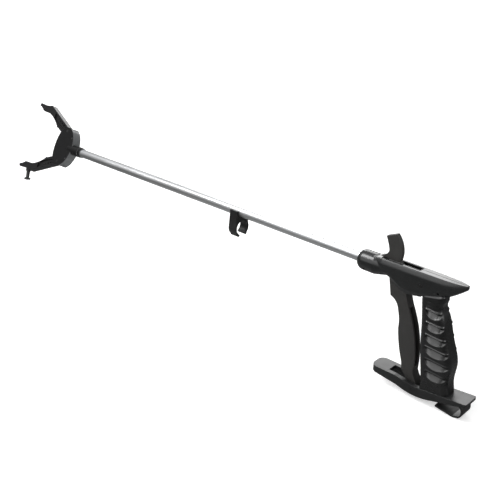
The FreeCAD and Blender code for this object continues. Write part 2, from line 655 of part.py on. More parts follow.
def cut_cross_slot(body, role, lift, x, y, inward):
    """Cut the cross slot into a screw's head."""
    sketch = sketch_on(body, role, x=x, y=y, lift=lift)
    arm = d.screw_head_radius * 0.7
    half = d.screw_slot / 2
    draw(sketch, [
        (half, half), (arm, half), (arm, -half), (half, -half), (half, -arm), (-half, -arm),
        (-half, -half), (-arm, -half), (-arm, half), (-half, half), (-half, arm), (half, arm),
    ][::-1])
    feature(body, "Pocket", sketch, Length=d.screw_slot_depth, Reversed=inward)


def screw_across(label, x, z, seat, reach, in_head=False):
    """A screw along y: its head sits at seat on the +y side, its shank reaches to -reach."""
    body = new_body(label, in_head)
    head = sketch_on(body, "XZ_Plane", lift=-(seat + d.screw_head_thick))
    draw_circle(head, x, z, d.screw_head_radius)
    feature(body, "Pad", head, Length=d.screw_head_thick)
    shank = sketch_on(body, "XZ_Plane", lift=-seat)
    draw_circle(shank, x, z, d.screw_dia / 2)
    feature(body, "Pad", shank, Length=seat + reach)
    cut_cross_slot(body, "XZ_Plane", -(seat + d.screw_head_thick), x, z, True)
    return body


def screw_up(label, x, seat, length):
    """A screw along z, driven from below: its head's top face lies at height seat."""
    body = new_body(label)
    head = sketch_on(body, "XY_Plane", lift=seat - d.screw_head_thick)
    draw_circle(head, x, 0, d.screw_head_radius)
    feature(body, "Pad", head, Length=d.screw_head_thick)
    shank = sketch_on(body, "XY_Plane", lift=seat)
    draw_circle(shank, x, 0, d.screw_dia / 2)
    feature(body, "Pad", shank, Length=length)
    cut_cross_slot(body, "XY_Plane", seat - d.screw_head_thick, x, 0, True)
    return body


def screw_seat_across(body, x, z, seat, side):
    """Clearance for a screw along y: a counterbore in the +y half, the shank's hole in both."""
    hole_across(body, x, z, d.screw_dia / 2)
    if side > 0:
        sketch = sketch_on(body, "XZ_Plane", lift=-seat)
        draw_circle(sketch, x, z, d.screw_head_radius)
        feature(body, "Pocket", sketch, Length=as_size(BIG))


def screw_seat_up(body, x, seat, length):
    """A counterbore from below up to seat and the shank's hole above it."""
    sketch = sketch_on(body, "XY_Plane", lift=seat)
    draw_circle(sketch, x, 0, d.screw_head_radius)
    feature(body, "Pocket", sketch, Length=as_size(BIG))
    hole_up(body, x, seat, length, d.screw_dia / 2)


def build_tube():
    body = rod_piece("tube", TUBE_FRONT, d.tube_show + d.tube_in_head + d.tube_in_hull,
                     TUBE_RADIUS, TUBE_BORE)
    hole_up(body, d.tube_screw_x, -d.tube_dia, d.tube_dia, d.screw_dia / 2)


def build_frame_clip():
    """Snap clip: ears open upward round the reacher's tube, a bore open downward below them."""
    body = new_body("frame_clip")
    centre = -d.clip_to_nose
    length = d.frame_clip_length
    ring = TUBE_RADIUS + d.frame_clip_gap
    ear = ring + d.frame_clip_wall
    shoulder = FRAME_TUBE_RADIUS + d.frame_clip_wall
    for z, radius in ((0, ear), (-TUBE_RISE, shoulder)):
        sketch = sketch_on(body, "YZ_Plane", lift=centre)
        draw_circle(sketch, 0, z, radius)
        feature(body, "Pad", sketch, Length=length, SideType="Symmetric")
    cheeks = sketch_on(body, "YZ_Plane", lift=centre)
    draw(cheeks, [(-shoulder, -TUBE_RISE), (shoulder, -TUBE_RISE), (ear, 0), (-ear, 0)])
    feature(body, "Pad", cheeks, Length=length, SideType="Symmetric")
    for z, radius in ((0, ring), (-TUBE_RISE, FRAME_TUBE_RADIUS)):
        sketch = sketch_on(body, "YZ_Plane", lift=centre)
        draw_circle(sketch, 0, z, radius)
        feature(body, "Pocket", sketch, Length=length + 1, SideType="Symmetric")
    mouth_half = d.frame_clip_mouth / 2
    for path in (box_path(-mouth_half, -(TUBE_RISE + shoulder + 1), mouth_half, -TUBE_RISE),
                 box_path(-ear - 1, d.frame_clip_ear, ear + 1, ear + 1)):
        sketch = sketch_on(body, "YZ_Plane", lift=centre)
        draw(sketch, path)
        feature(body, "Pocket", sketch, Length=length + 1, SideType="Symmetric")
    reach = FRAME_TUBE_RADIUS + d.frame_clip_lip
    lean = math.asin(mouth_half.value / reach.value)
    angle = Size(math.degrees(lean), f"asin({mouth_half.text} / {reach.text}) / 1 deg")
    for side in (-1, 1):
        sketch = sketch_on(body, "YZ_Plane", lift=centre)
        draw_circle(sketch, reach * sine(angle) * side, -TUBE_RISE - reach * cosine(angle),
                    d.frame_clip_lip)
        feature(body, "Pad", sketch, Length=length, SideType="Symmetric")


def hull_sections():
    """Half sections of the housing: x, deck half, deck z, cheek half, keel half, keel z."""
    deck, cheek, keel = d.deck_half_width, d.cheek_half_width, d.hull_keel_half
    return (
        (d.nose_straight - 8, deck * 0.7, d.deck_rise - 2, cheek * 0.75, keel * 0.5, 1 - d.hull_throat),
        (d.bay_front - 4, deck, d.deck_rise, cheek, keel, 0.4 - d.hull_throat),
        (d.bay_front + 9, deck, d.deck_rise, cheek, keel, -d.hull_throat),
        (d.bay_front + 20, deck, d.deck_rise, cheek, keel, 1.6 - d.hull_depth),
        (d.bay_front + 41, deck, d.deck_rise, cheek, keel, -d.hull_depth),
        (d.hull_length - 30, deck * 0.95, d.deck_rise - 0.05, cheek * 0.93, keel * 0.84,
         5.7 - d.hull_depth),
        (d.hull_length - 9, deck * 0.68, d.hull_tail_rise + 0.05, cheek * 0.62, keel * 0.3, -1.6),
        (d.hull_length, deck * 0.25, d.hull_tail_rise, cheek * 0.22, keel * 0.08, 5.4),
    )


def hull_section(body, side, row):
    """Sketch one half section: flat deck, rounded upper side, upright cheek and narrower keel."""
    x, deck_half, deck_z, cheek_half, keel_half, keel_z = row
    sketch = sketch_on(body, "YZ_Plane", lift=x)
    share = (deck_z - keel_z) / (d.deck_rise + d.hull_throat)
    lower = keel_z + (d.hull_side_rise + d.hull_throat) * share * 0.3
    upper = deck_z - (d.deck_rise - d.hull_side_rise) * (deck_half / d.deck_half_width)
    draw(sketch, [
        (0, keel_z),
        (keel_half * side, keel_z),
        (cheek_half * side, lower),
        (cheek_half * side, upper),
        (deck_half * side, deck_z, d.hull_side_radius * side),
        (0, deck_z),
    ])
    return sketch


def build_hull_half(label, side):
    """One half of the housing: lofted hull, round nose, trigger's bay, deck slot and seats."""
    body = new_body(label)
    rows = hull_sections()
    first, second = (hull_section(body, side, row) for row in rows[:2])
    feature(body, "AdditiveLoft", first, Sections=[second], Ruled=True)
    start, *others = (hull_section(body, side, row) for row in rows[1:])
    feature(body, "AdditiveLoft", start, Sections=others)
    nose = sketch_on(body, "XZ_Plane", y=-d.nose_drop)
    draw(nose, [
        (0, 0),
        (d.nose_end, 0),
        (d.nose_end, d.nose_end_radius),
        (d.nose_straight, d.nose_radius),
        (d.nose_round, d.nose_radius),
        (0, d.nose_radius - d.nose_round, d.nose_round),
    ])
    feature(body, "Revolution", nose, ReferenceAxis=(nose, ["H_Axis"]), Angle=180,
            Reversed=side > 0)
    bore = sketch_on(body, "YZ_Plane", lift=-1)
    draw_circle(bore, 0, 0, TUBE_RADIUS)
    feature(body, "Pocket", bore, Length=d.bay_front + 1, Reversed=True)
    bay_rear = d.bay_front + d.bay_length
    cut_half(body, box_path(d.bay_front, -BIG, bay_rear, d.deck_rise - d.deck_thick),
             d.bay_half_width, side)
    cut_half(body, box_path(d.bay_front, 0, d.bay_front + d.slot_length, BIG),
             d.slot_half_width, side)
    cut_half(body, [
        SEAT_FRONT, (SEAT_FRONT[0], -BIG), (SEAT_REAR[0], -BIG), SEAT_REAR,
    ], BIG, side)
    cut_half(body, box_path(d.tang_front, -BIG, d.tang_front + d.tang_length, -d.tang_top_drop),
             d.tang_half_width, side)
    hole_across(body, d.hull_pin_x, -d.hull_pin_drop, d.hull_pin_dia / 2)
    screw_seat_across(body, d.hull_screw_front_x, -d.hull_screw_front_drop,
                      d.hull_screw_front_seat, side)
    screw_seat_across(body, d.hull_screw_rear_x, -d.hull_screw_rear_drop,
                      d.hull_screw_rear_seat, side)
    screw_seat_up(body, d.tube_screw_x, -d.tube_screw_drop, d.tube_screw_drop)


def build_trigger():
    """Trigger: finger lever and thumb tab in one piece, with the rod's window and slots."""
    body = new_body("trigger")
    shoulder = (TRIGGER_FRONT + d.shoulder_run, -d.shoulder_drop)
    ledge = (shoulder[0] + d.shoulder_depth, shoulder[1] - d.shoulder_height)
    hollow = (ledge[0] + d.finger_hollow_run, ledge[1] - d.finger_hollow_height)
    swell = (hollow[0] + d.finger_swell_run, hollow[1] - d.finger_swell_height)
    foot_x, foot_z = d.pivot_x, -d.pivot_drop
    slab(body, [
        (TRIGGER_FRONT, d.trigger_top),
        shoulder,
        ledge + (-d.shoulder_radius,),
        hollow + (-d.finger_hollow_radius,),
        swell + (d.finger_swell_radius,),
        (foot_x - d.foot_front_run, foot_z + d.foot_front_rise),
        (foot_x - d.foot_radius, foot_z),
        (foot_x, foot_z - d.foot_radius, d.foot_radius),
        (foot_x + d.foot_radius, foot_z, d.foot_radius),
        (foot_x - d.foot_rear_run, foot_z + d.foot_rear_rise),
        (TRIGGER_FRONT + d.trigger_back_run, -d.trigger_back_drop, d.trigger_back_radius),
        (TRIGGER_REAR + 0.5, -d.trigger_root_drop),
        (TRIGGER_REAR, d.trigger_top + d.trigger_top_rise),
    ], d.trigger_half_width)
    skirt_z = d.deck_rise + d.skirt_gap
    tab_front = TRUNNION_X - d.tab_front_run
    slab(body, [
        (TRIGGER_FRONT + d.tab_root_inset, d.rod_window_top),
        (TRIGGER_REAR - 1, d.rod_window_top),
        (TRUNNION_X + d.tab_back_run, d.tab_back_rise),
        (TRUNNION_X - d.tab_rear_run, d.tab_rise, d.tab_back_radius),
        (TRUNNION_X - d.tab_rear_run - d.tab_depth, d.tab_rise - d.tab_tilt),
        (tab_front, d.tab_front_rise, -d.tab_front_radius),
        (TRUNNION_X - d.skirt_run, skirt_z + d.skirt_thick, -d.skirt_radius),
        (TRUNNION_X - d.skirt_run, skirt_z),
        (tab_front - 0.4, skirt_z),
    ], d.tab_half_width)
    cut_across(body, [
        (TRIGGER_FRONT - 5, -d.rod_window_drop),
        (TRIGGER_REAR + 5, -d.rod_window_drop),
        (TRIGGER_REAR + 5, d.rod_window_top),
        (TRUNNION_X - d.eye_radius, d.rod_window_top),
        (TRUNNION_X - d.eye_radius - 1, d.rod_window_top - d.rod_window_step),
        (TRIGGER_FRONT - 5, d.rod_window_top - d.rod_window_step),
    ], d.rod_window_half)
    slot = sketch_on(body, "XZ_Plane", x=d.pivot_x, y=-d.pivot_drop, turn=d.lever_lean)
    reach_open = d.pivot_drop / cosine(d.lever_lean)
    reach_closed = d.pivot_drop / cosine(d.lever_lean - d.trigger_travel)
    draw(slot, slot_path(reach_closed - d.trunnion_side_gap, reach_open + d.trunnion_side_gap,
                         d.trunnion_dia / 2 + d.trunnion_side_gap))
    feature(body, "Pocket", slot, Length=as_size(BIG), SideType="Symmetric")
    hole_across(body, foot_x, foot_z, d.trigger_pin_dia / 2 + d.running_gap)
    back_top = (TRIGGER_FRONT + d.trigger_back_run, -d.back_channel_top)
    back_low = (foot_x - d.foot_rear_run, foot_z + d.back_channel_foot)
    cut_across(body, [
        (back_top[0] - d.back_channel_depth, back_top[1]),
        (back_low[0] - d.back_channel_depth, back_low[1], -d.trigger_back_radius),
        (back_low[0] + 5, back_low[1]),
        (back_top[0] + 10, back_top[1]),
    ], d.back_channel_half)


def grip_sections():
    """Sections of the grip from its foot to its top: height, front x, depth, half width."""
    top = d.seat_rear_drop - 2
    height = d.plate_top_drop + d.plate_dip - top
    rows = (
        (1.01, 0.9, d.grip_foot_depth, d.grip_foot_half),
        (0.92, 1.0, (d.grip_foot_depth + d.grip_low_depth * 2) / 3, d.grip_foot_half * 1.15),
        (0.83, 0.98, d.grip_low_depth, d.grip_half_width),
        (0.68, 0.72, d.grip_full_depth, d.grip_half_width),
        (0.46, 0.48, d.grip_mid_depth, d.grip_half_width),
        (0.26, 0.30, (d.grip_mid_depth + d.grip_neck_depth) / 2, d.grip_half_width * 0.96),
        (0.14, 0.06, d.grip_neck_depth, d.grip_neck_half),
        (0.0, 0.0, d.grip_top_depth, d.grip_top_half),
    )
    return [(-(top + height * down), d.grip_front_x + d.grip_lean * lean, depth, half)
            for down, lean, depth, half in rows]


def grip_face(z):
    """Front and back of the grip at a height, between its named sections."""
    rows = grip_sections()
    for (z0, front0, depth0, half0), (z1, front1, depth1, half1) in zip(rows, rows[1:]):
        if z0.value <= z.value <= z1.value:
            share = (z - z0) / (z1 - z0)
            front = front0 + (front1 - front0) * share
            return front, front + depth0 + (depth1 - depth0) * share
    raise ValueError("height outside the grip")


def rounded_path(front, back, half):
    """Section of the grip: a rectangle with round corners, smaller ones at the front."""
    near, far = d.grip_front_corner, d.grip_back_corner
    return [
        (front + near, -half, near),
        (back - far, -half),
        (back, far - half, far),
        (back, half - far),
        (back - far, half, far),
        (front + near, half),
        (front, half - near, near),
        (front, near - half),
    ]


def build_grip():
    """Pistol grip: lofted body with a tang above, side hollows and the ribs between them."""
    body = new_body("grip")
    sketches = []
    for z, front, depth, half in grip_sections():
        sketch = sketch_on(body, "XY_Plane", lift=z)
        draw(sketch, rounded_path(front, front + depth, half))
        sketches.append(sketch)
    feature(body, "AdditiveLoft", sketches[0], Sections=sketches[1:])
    cut_across(body, [
        (SEAT_FRONT[0] - BIG, line_at(SEAT_FRONT, SEAT_REAR, SEAT_FRONT[0] - BIG)),
        (SEAT_REAR[0] + BIG, line_at(SEAT_FRONT, SEAT_REAR, SEAT_REAR[0] + BIG)),
        (SEAT_REAR[0] + BIG, BIG),
        (SEAT_FRONT[0] - BIG, BIG),
    ], BIG)
    cut_across(body, [
        (PLATE_LOW[0] - BIG, line_at(PLATE_LOW, PLATE_REAR, PLATE_LOW[0] - BIG)),
        (PLATE_LOW[0] - BIG, PLATE_LOW[1] - BIG),
        (PLATE_REAR[0] + BIG, PLATE_LOW[1] - BIG),
        (PLATE_REAR[0] + BIG, line_at(PLATE_LOW, PLATE_REAR, PLATE_REAR[0] + BIG)),
    ], BIG)
    slab(body, box_path(d.tang_front, -d.seat_front_drop - 3, d.tang_front + d.tang_length,
                        -d.tang_top_drop), d.tang_half_width)
    for side in (-1, 1):
        lift = d.grip_web_half if side < 0 else -d.grip_web_half
        sketch = sketch_on(body, "XZ_Plane", lift=lift)
        for number in range(round(d.rib_count.value)):
            floor = -(d.rib_first_drop + d.rib_pitch * number)
            front, back = grip_face(floor)
            roof = floor + d.pocket_height
            front_top, back_top = grip_face(roof)
            draw(sketch, [
                (front + d.pocket_front_wall, floor + d.pocket_sag),
                (back - d.pocket_back_wall, floor, 40),
                (back_top - d.pocket_back_wall - 1.5, roof - 1),
                (front_top + d.pocket_front_wall + 1.5, roof, 60),
            ])
        feature(body, "Pocket", sketch, Length=as_size(BIG), Reversed=side < 0)
    for x, drop in ((d.grip_screw_front_x, d.grip_screw_front_drop),
                    (d.grip_screw_rear_x, d.grip_screw_rear_drop)):
        hole_up(body, x, -drop, d.grip_screw_length, d.screw_dia / 2)
    hole_across(body, d.hull_screw_rear_x, -d.hull_screw_rear_drop, d.screw_dia / 2)


def build_base_plate():
    """Base plate: a flat sole with a belly that holds the trigger's pivot."""
    body = new_body("base_plate")
    top = -d.plate_top_drop
    slab(body, [
        (d.plate_front_x, top),
        (d.plate_front_x, top - d.plate_front_thick),
        (d.plate_front_x + d.belly_front_run, top - d.belly_front_drop),
        BELLY_REAR + (d.belly_radius,),
        PLATE_REAR_LOW,
        PLATE_REAR,
        PLATE_LOW,
        (d.plate_front_x + d.plate_flat_run, top),
    ], d.plate_half_width)
    round_edges(body, d.plate_corner, lambda middle, box: (
        box.YLength < 0.01 and box.XMax < d.plate_front_x.value + 0.01))
    round_edges(body, d.plate_rear_corner, lambda middle, box: (
        box.YLength < 0.01 and box.XMin > PLATE_REAR_X.value - 0.01))
    bay_front = d.pivot_x - d.foot_bay_front
    bay_rear = d.pivot_x + d.foot_bay_rear
    bay_floor = -d.pivot_drop - d.foot_bay_depth
    cut_across(body, [
        (bay_front, top + BIG),
        (bay_front, top - d.foot_bay_lip),
        (d.pivot_x - d.foot_bay_rear, bay_floor),
        (bay_rear, bay_floor),
        (bay_rear, top + BIG),
    ], d.foot_bay_half)
    hole_across(body, d.pivot_x, -d.pivot_drop, d.trigger_pin_dia / 2)
    for x, drop in ((d.grip_screw_front_x, d.grip_screw_front_drop),
                    (d.grip_screw_rear_x, d.grip_screw_rear_drop)):
        screw_seat_up(body, x, -drop, d.grip_screw_length)
    hole_up(body, PLATE_REAR_X - d.clip_screw_ahead, -d.clip_screw_drop, d.clip_screw_length,
            d.screw_dia / 2)


def build_belt_clip():
    """Belt clip: a leg screwed under the plate, a round bend and a springy lower leg."""
    body = new_body("belt_clip")
    bend_x = PLATE_REAR_X - d.belt_clip_rear
    bend_top = (bend_x, line_at(BELLY_REAR, PLATE_REAR_LOW, bend_x))
    front_x = bend_x - d.belt_clip_from
    front_z = line_at(BELLY_REAR, PLATE_REAR_LOW, front_x)
    heel = (bend_x, bend_top[1] - d.belt_clip_fall)
    toe = (heel[0] - d.belt_clip_heel, heel[1] - d.belt_clip_heel_drop)
    tip = (toe[0] - d.belt_clip_tail, toe[1] + d.belt_clip_tail_rise)
    thick = d.belt_clip_thick
    slab(body, [
        (front_x, front_z),
        (front_x + 0.5, front_z - thick),
        (bend_x - 1, bend_top[1] - thick),
        (heel[0] - 0.5, heel[1] + thick, thick - d.belt_clip_bend),
        (toe[0], toe[1] + thick),
        (tip[0], tip[1] + thick * 0.8),
        tip,
        toe,
        heel,
        bend_top + (d.belt_clip_bend,),
    ], d.belt_clip_half)
    hole_up(body, PLATE_REAR_X - d.clip_screw_ahead, -d.clip_screw_drop, d.clip_screw_length,
            d.screw_dia / 2)


def build_pull_rod():
    """Pull rod with its swivel button, guides, eye block and cross pin."""
    swivel = CROSS_PIN_X + d.swivel_setback
    rod_start = swivel + d.swivel_length
    eye_front = TRUNNION_X - d.eye_shank
    rod_piece("swivel_button", swivel, d.swivel_length, d.swivel_radius)
    rod_piece("pull_rod", rod_start, eye_front + d.eye_socket - rod_start, d.rod_dia / 2)
    bore = TUBE_BORE - d.guide_gap
    rod_piece("rod_guide_front", TUBE_FRONT + d.guide_front_inset, d.guide_length, bore,
              d.rod_dia / 2)
    rod_piece("rod_guide_rear", -d.guide_rear_inset, d.guide_length, bore, d.rod_dia / 2)
    eye = new_body("rod_eye")
    sketch = sketch_on(eye, "XZ_Plane")
    draw_circle(sketch, TRUNNION_X, 0, d.eye_radius)
    feature(eye, "Pad", sketch, Length=d.eye_half_width * 2, SideType="Symmetric")
    slab(eye, box_path(eye_front, -d.eye_shank_half, TRUNNION_X, d.eye_shank_half),
         d.eye_half_width)
    hole_across(eye, TRUNNION_X, 0, d.trunnion_dia / 2)
    turned(eye, box_path(eye_front - 1, 0, eye_front + d.eye_socket, d.rod_dia / 2), "Groove")
    reach = d.trigger_half_width - d.trunnion_inset
    cross_piece("rod_cross_pin", TRUNNION_X, 0, d.trunnion_dia / 2, -reach, reach)


def build_head_half(label, side):
    """One half of the head: a plate, half of the rear wall and half of the neck."""
    body = new_body(label, in_head=True)
    rear_x = JAW_PIN_X + d.head_rear_run
    bulge = d.head_rear_bulge
    rear_radius = (d.head_rear_height * d.head_rear_height + bulge * bulge) / (bulge * 2)
    front_x = JAW_PIN_X - d.head_front_run
    front = d.head_front_bulge
    front_radius = (d.head_front_height * d.head_front_height + front * front) / (front * 2)
    outline = sketch_on(body, "XZ_Plane")
    draw(outline, [
        (front_x, d.head_front_height),
        (front_x, -d.head_front_height, front_radius),
        (JAW_PIN_X - d.head_side_front, -d.head_side_height),
        (JAW_PIN_X + d.head_side_back, -d.head_side_height),
        (rear_x, -d.head_rear_height),
        (rear_x, d.head_rear_height, rear_radius),
        (JAW_PIN_X + d.head_side_back, d.head_side_height),
        (JAW_PIN_X - d.head_side_front, d.head_side_height),
    ])
    feature(body, "Pad", outline, Length=d.head_half_thick, Reversed=side > 0)
    neck_rear = COLLAR_REAR - d.collar_length
    turned(body, box_path(rear_x, 0, neck_rear, d.neck_radius), Angle=180, Reversed=side > 0)
    wall_centre = rear_x + bulge - rear_radius
    inner = rear_radius - d.head_rear_wall
    inner_x = wall_centre + inner * cosine(Size(48, "48"))
    inner_m = inner * sine(Size(48, "48"))
    cut_half(body, [
        (front_x - BIG, BIG),
        (front_x - BIG, -BIG),
        (inner_x - 2, -BIG),
        (inner_x, -inner_m),
        (inner_x, inner_m, inner),
        (inner_x - 2, BIG),
    ], d.head_half_thick - d.head_plate, side)
    bore = TUBE_RADIUS + d.head_gap
    ring_front = TUBE_FRONT + d.ring_setback - d.ring_gap
    ring_rear = ring_front + d.ring_width + d.ring_gap * 2
    groove = d.ring_radius + d.head_gap
    turned(body, [
        (rear_x, 0),
        (COLLAR_REAR + 1, 0),
        (COLLAR_REAR + 1, bore),
        (ring_rear, bore),
        (ring_rear, groove),
        (ring_front, groove),
        (ring_front, bore),
        (rear_x, bore),
    ], "Groove")
    for height in (d.jaw_pin_height, -d.jaw_pin_height):
        hole_across(body, JAW_PIN_X, height, d.jaw_pin_dia / 2)
    screw_x = head_screw_x()
    for height in (d.head_screw_height, -d.head_screw_height):
        screw_seat_across(body, screw_x, height, d.head_screw_seat, side)


def head_screw_x():
    """The head screws stand in the middle of the head's rear wall."""
    bulge = d.head_rear_bulge
    radius = (d.head_rear_height * d.head_rear_height + bulge * bulge) / (bulge * 2)
    middle = radius - d.head_rear_wall / 2
    sag = middle.value - math.sqrt(middle.value ** 2 - d.head_screw_height.value ** 2)
    text = f"({middle.text} - sqrt({middle.text} * {middle.text} - {d.head_screw_height.text}"
    text += f" * {d.head_screw_height.text}))"
    wall = JAW_PIN_X + d.head_rear_run + bulge - d.head_rear_wall / 2
    return wall - Size(sag, text)


def build_head():
    """Head: two shells, collar, jaw pins, screws and the ring that holds it on the tube."""
    build_head_half("head_shell_left", -1)
    build_head_half("head_shell_right", 1)
    rod_piece("head_collar", COLLAR_REAR - d.collar_length, d.collar_length, d.collar_radius,
              TUBE_RADIUS + d.head_gap, in_head=True)
    rod_piece("retaining_ring", TUBE_FRONT + d.ring_setback, d.ring_width, d.ring_radius,
              TUBE_RADIUS)
    half = d.head_half_thick
    names = (("upper", 1), ("lower", -1))
    for name, side in names:
        cross_piece(f"jaw_pin_{name}", JAW_PIN_X, d.jaw_pin_height * side, d.jaw_pin_dia / 2,
                    -half, half, in_head=True)
        screw_across(f"head_screw_{name}", head_screw_x(), d.head_screw_height * side,
                     d.head_screw_seat, d.head_screw_reach, in_head=True)


def build_crosshead():
    """Crosshead: the T bar that draws both jaw levers, with the swivel button's socket."""
    body = new_body("crosshead", in_head=True)
    boss = CROSS_PIN_X + d.boss_setback
    slab(body, box_path(CROSS_PIN_X - d.bar_half_depth, -d.bar_half_height,
                        CROSS_PIN_X + d.bar_half_depth, d.bar_half_height), d.crosshead_half)
    slab(body, box_path(CROSS_PIN_X, -d.boss_radius, boss + 1, d.boss_radius), d.crosshead_half)
    turned(body, box_path(boss, 0, boss + d.boss_length, d.boss_radius))
    button = CROSS_PIN_X + d.swivel_setback
    button_gap = d.swivel_radius + d.swivel_gap
    rod_gap = d.rod_dia / 2 + d.swivel_gap
    turned(body, [
        (button - d.swivel_gap, 0),
        (boss + d.boss_length + 1, 0),
        (boss + d.boss_length + 1, rod_gap),
        (button + d.swivel_length + d.swivel_gap, rod_gap),
        (button + d.swivel_length + d.swivel_gap, button_gap),
        (button - d.swivel_gap, button_gap),
    ], "Groove")
    for name, side in (("upper", 1), ("lower", -1)):
        hole_across(body, CROSS_PIN_X, d.cross_pin_height * side, d.cross_pin_dia / 2)
        ends = (-d.crosshead_half, d.jaw_half_width) if side > 0 else (
            -d.jaw_half_width, d.crosshead_half)
        cross_piece(f"crosshead_pin_{name}", CROSS_PIN_X, d.cross_pin_height * side,
                    d.cross_pin_dia / 2, ends[0], ends[1], in_head=True)


def jaw_outline(side):
    """Outline of a jaw's arm about its pin, from the hub out to the tip and back."""
    x, m = JAW_PIN_X, d.jaw_pin_height
    tip = (x - d.tip_run, m + d.tip_rise)
    heel_x = x - d.heel_run
    bump_x = x - d.bump_run
    path = [
        (x, m + d.hub_radius, d.hub_radius),
        (x - d.jaw_outer_run, m + d.jaw_outer_rise),
        (x - d.knuckle_run, m + d.knuckle_rise),
        tip + (-d.knuckle_hollow,),
        (tip[0] - d.tip_lead, tip[1] - d.tip_face),
        (heel_x, m + d.heel_rise, -30),
        (heel_x + d.heel_length, m + d.heel_rise, d.heel_radius),
        (bump_x - d.bump_width, m + d.bump_rise, -d.hollow_radius),
        (bump_x, m + d.bump_rise - 1.5, d.bump_radius),
        (x - d.root_run, m - d.root_drop),
        (x, m - d.hub_radius),
        (x + d.hub_radius, m, d.hub_radius),
    ]
    return mirrored(path, side)


def outer_edge_rise(run):
    """Outer edge of the jaw's arm, outward of the pin, at a run ahead of it."""
    return line_at((d.jaw_outer_run, d.jaw_outer_rise), (d.knuckle_run, d.knuckle_rise), run)


def build_jaw(label, side):
    """One jaw: arm, side recesses that leave a web, graduated holes and a forked lever."""
    body = new_body(label, in_head=True)
    slab(body, jaw_outline(side), d.jaw_half_width)
    x, m = JAW_PIN_X, d.jaw_pin_height
    start, end = d.recess_start, d.recess_end
    inner_end = (d.bump_rise + d.heel_rise) / 2 + d.jaw_rim
    recess = mirrored([
        (x - start, m + outer_edge_rise(start) - d.jaw_flange),
        (x - end, m + outer_edge_rise(end) - d.jaw_flange),
        (x - end, m + inner_end * 0.95),
        (x - d.bump_run, m + d.bump_rise + d.jaw_rim),
        (x - start, m + d.jaw_rim - d.root_drop),
    ], side)
    for face in (-1, 1):
        lift = d.jaw_web_half if face < 0 else -d.jaw_web_half
        sketch = sketch_on(body, "XZ_Plane", lift=lift)
        draw(sketch, recess)
        feature(body, "Pocket", sketch, Length=as_size(BIG), Reversed=face < 0)
    holes = sketch_on(body, "XZ_Plane")
    for number in range(round(d.hole_count.value)):
        run = d.hole_first + d.hole_pitch * number
        draw_circle(holes, x - run, (m + outer_edge_rise(run) - d.hole_inset) * side,
                    d.hole_first_radius - d.hole_shrink * number)
    feature(body, "Pocket", holes, Length=as_size(BIG), SideType="Symmetric")
    lift = LEVER_INNER if side > 0 else -LEVER_INNER
    lever = sketch_on(body, "XZ_Plane", x=x, y=m * side, lift=lift, turn=-HALF_SWING * side)
    half = d.lever_half_height
    slot = d.cross_pin_dia / 2 + d.fork_gap
    fork_end = LEVER_DROP / cosine(HALF_SWING) + d.lever_end
    fork_root = LEVER_DROP - d.layer_gap
    draw(lever, mirrored([
        (-half, 0),
        (-half, -fork_end),
        (-slot, -fork_end),
        (-slot, -fork_root),
        (0, slot - fork_root, -slot),
        (slot, -fork_root, -slot),
        (slot, -fork_end),
        (half, -fork_end),
        (half, 0),
    ], side))
    feature(body, "Pad", lever, Length=d.jaw_half_width - LEVER_INNER, Reversed=side < 0)
    hole_across(body, x, m * side, d.jaw_pin_dia / 2 + d.running_gap)
    if side < 0:
        depth = d.peg_spigot_depth
        turned_on_peg(body, box_path(0, 0, d.peg_boss_radius, depth + 1), "Revolution")
        turned_on_peg(body, box_path(0, -1, d.peg_spigot_radius, depth), "Groove")


def turned_on_peg(body, path, kind="Revolution"):
    """Turn an outline about the dressing peg's axis; its height counts from the peg's shoulder."""
    sketch = sketch_on(body, "XZ_Plane", x=JAW_PIN_X - d.peg_run,
                       y=-(d.jaw_pin_height + d.peg_rise), turn=d.peg_lean)
    draw(sketch, path)
    return feature(body, kind, sketch, ReferenceAxis=(sketch, ["V_Axis"]))


def build_peg():
    """Dressing peg under the lower jaw, with a magnet let into its foot."""
    foot = -d.peg_neck
    end = foot - d.peg_foot_thick
    rim = d.peg_foot_radius - 0.6
    turned_on_peg(new_body("dressing_peg", in_head=True), [
        (0, d.peg_spigot_depth),
        (0, end + d.magnet_thick),
        (d.magnet_radius, end + d.magnet_thick),
        (d.magnet_radius, end),
        (rim, end),
        (rim, foot - 0.8, 1.2),
        (d.peg_waist, foot + 2.4, -3),
        (d.peg_radius, 0, -60),
        (d.peg_spigot_radius, 0),
        (d.peg_spigot_radius, d.peg_spigot_depth),
    ])
    turned_on_peg(new_body("magnet", in_head=True),
                  box_path(0, end, d.magnet_radius, end + d.magnet_thick))


def build_spring():
    """Return spring behind the trigger, an eight-sided wire swept along a helix."""
    wire = d.spring_wire / 2
    length = d.bay_front + d.bay_length - TRIGGER_REAR - d.spring_wire - 0.2
    helix = doc.addObject("Part::Helix", "SpringHelix")
    for prop, size in (("Radius", d.spring_radius), ("Height", length),
                       ("Pitch", length / d.spring_turns)):
        setattr(helix, prop, size.value)
        bind(helix, prop, size)
    section = doc.addObject("Part::RegularPolygon", "SpringSection")
    section.Polygon = 8
    section.Circumradius = wire.value
    bind(section, "Circumradius", wire)
    base = FreeCAD.Vector(d.spring_radius.value, 0, 0)
    section.Placement = FreeCAD.Placement(base, FreeCAD.Rotation(FreeCAD.Vector(1, 0, 0), 90))
    bind(section, "Placement.Base.x", d.spring_radius)
    spring = doc.addObject("Part::Sweep", "return_spring")
    spring.Label = "return_spring"
    spring.Sections = [section]
    spring.Spine = (helix, ["Edge1"])
    spring.Solid = True
    spring.Frenet = True
    x = d.clip_to_nose + TRIGGER_REAR + wire + 0.1
    z = TUBE_RISE + d.spring_rise
    turn = FreeCAD.Rotation(FreeCAD.Vector(0, 1, 0), 90)
    spring.Placement = FreeCAD.Placement(FreeCAD.Vector(x.value, 0, z.value), turn)
    bind(spring, "Placement.Base.x", x)
    bind(spring, "Placement.Base.z", z)
    PIECES.append(spring)


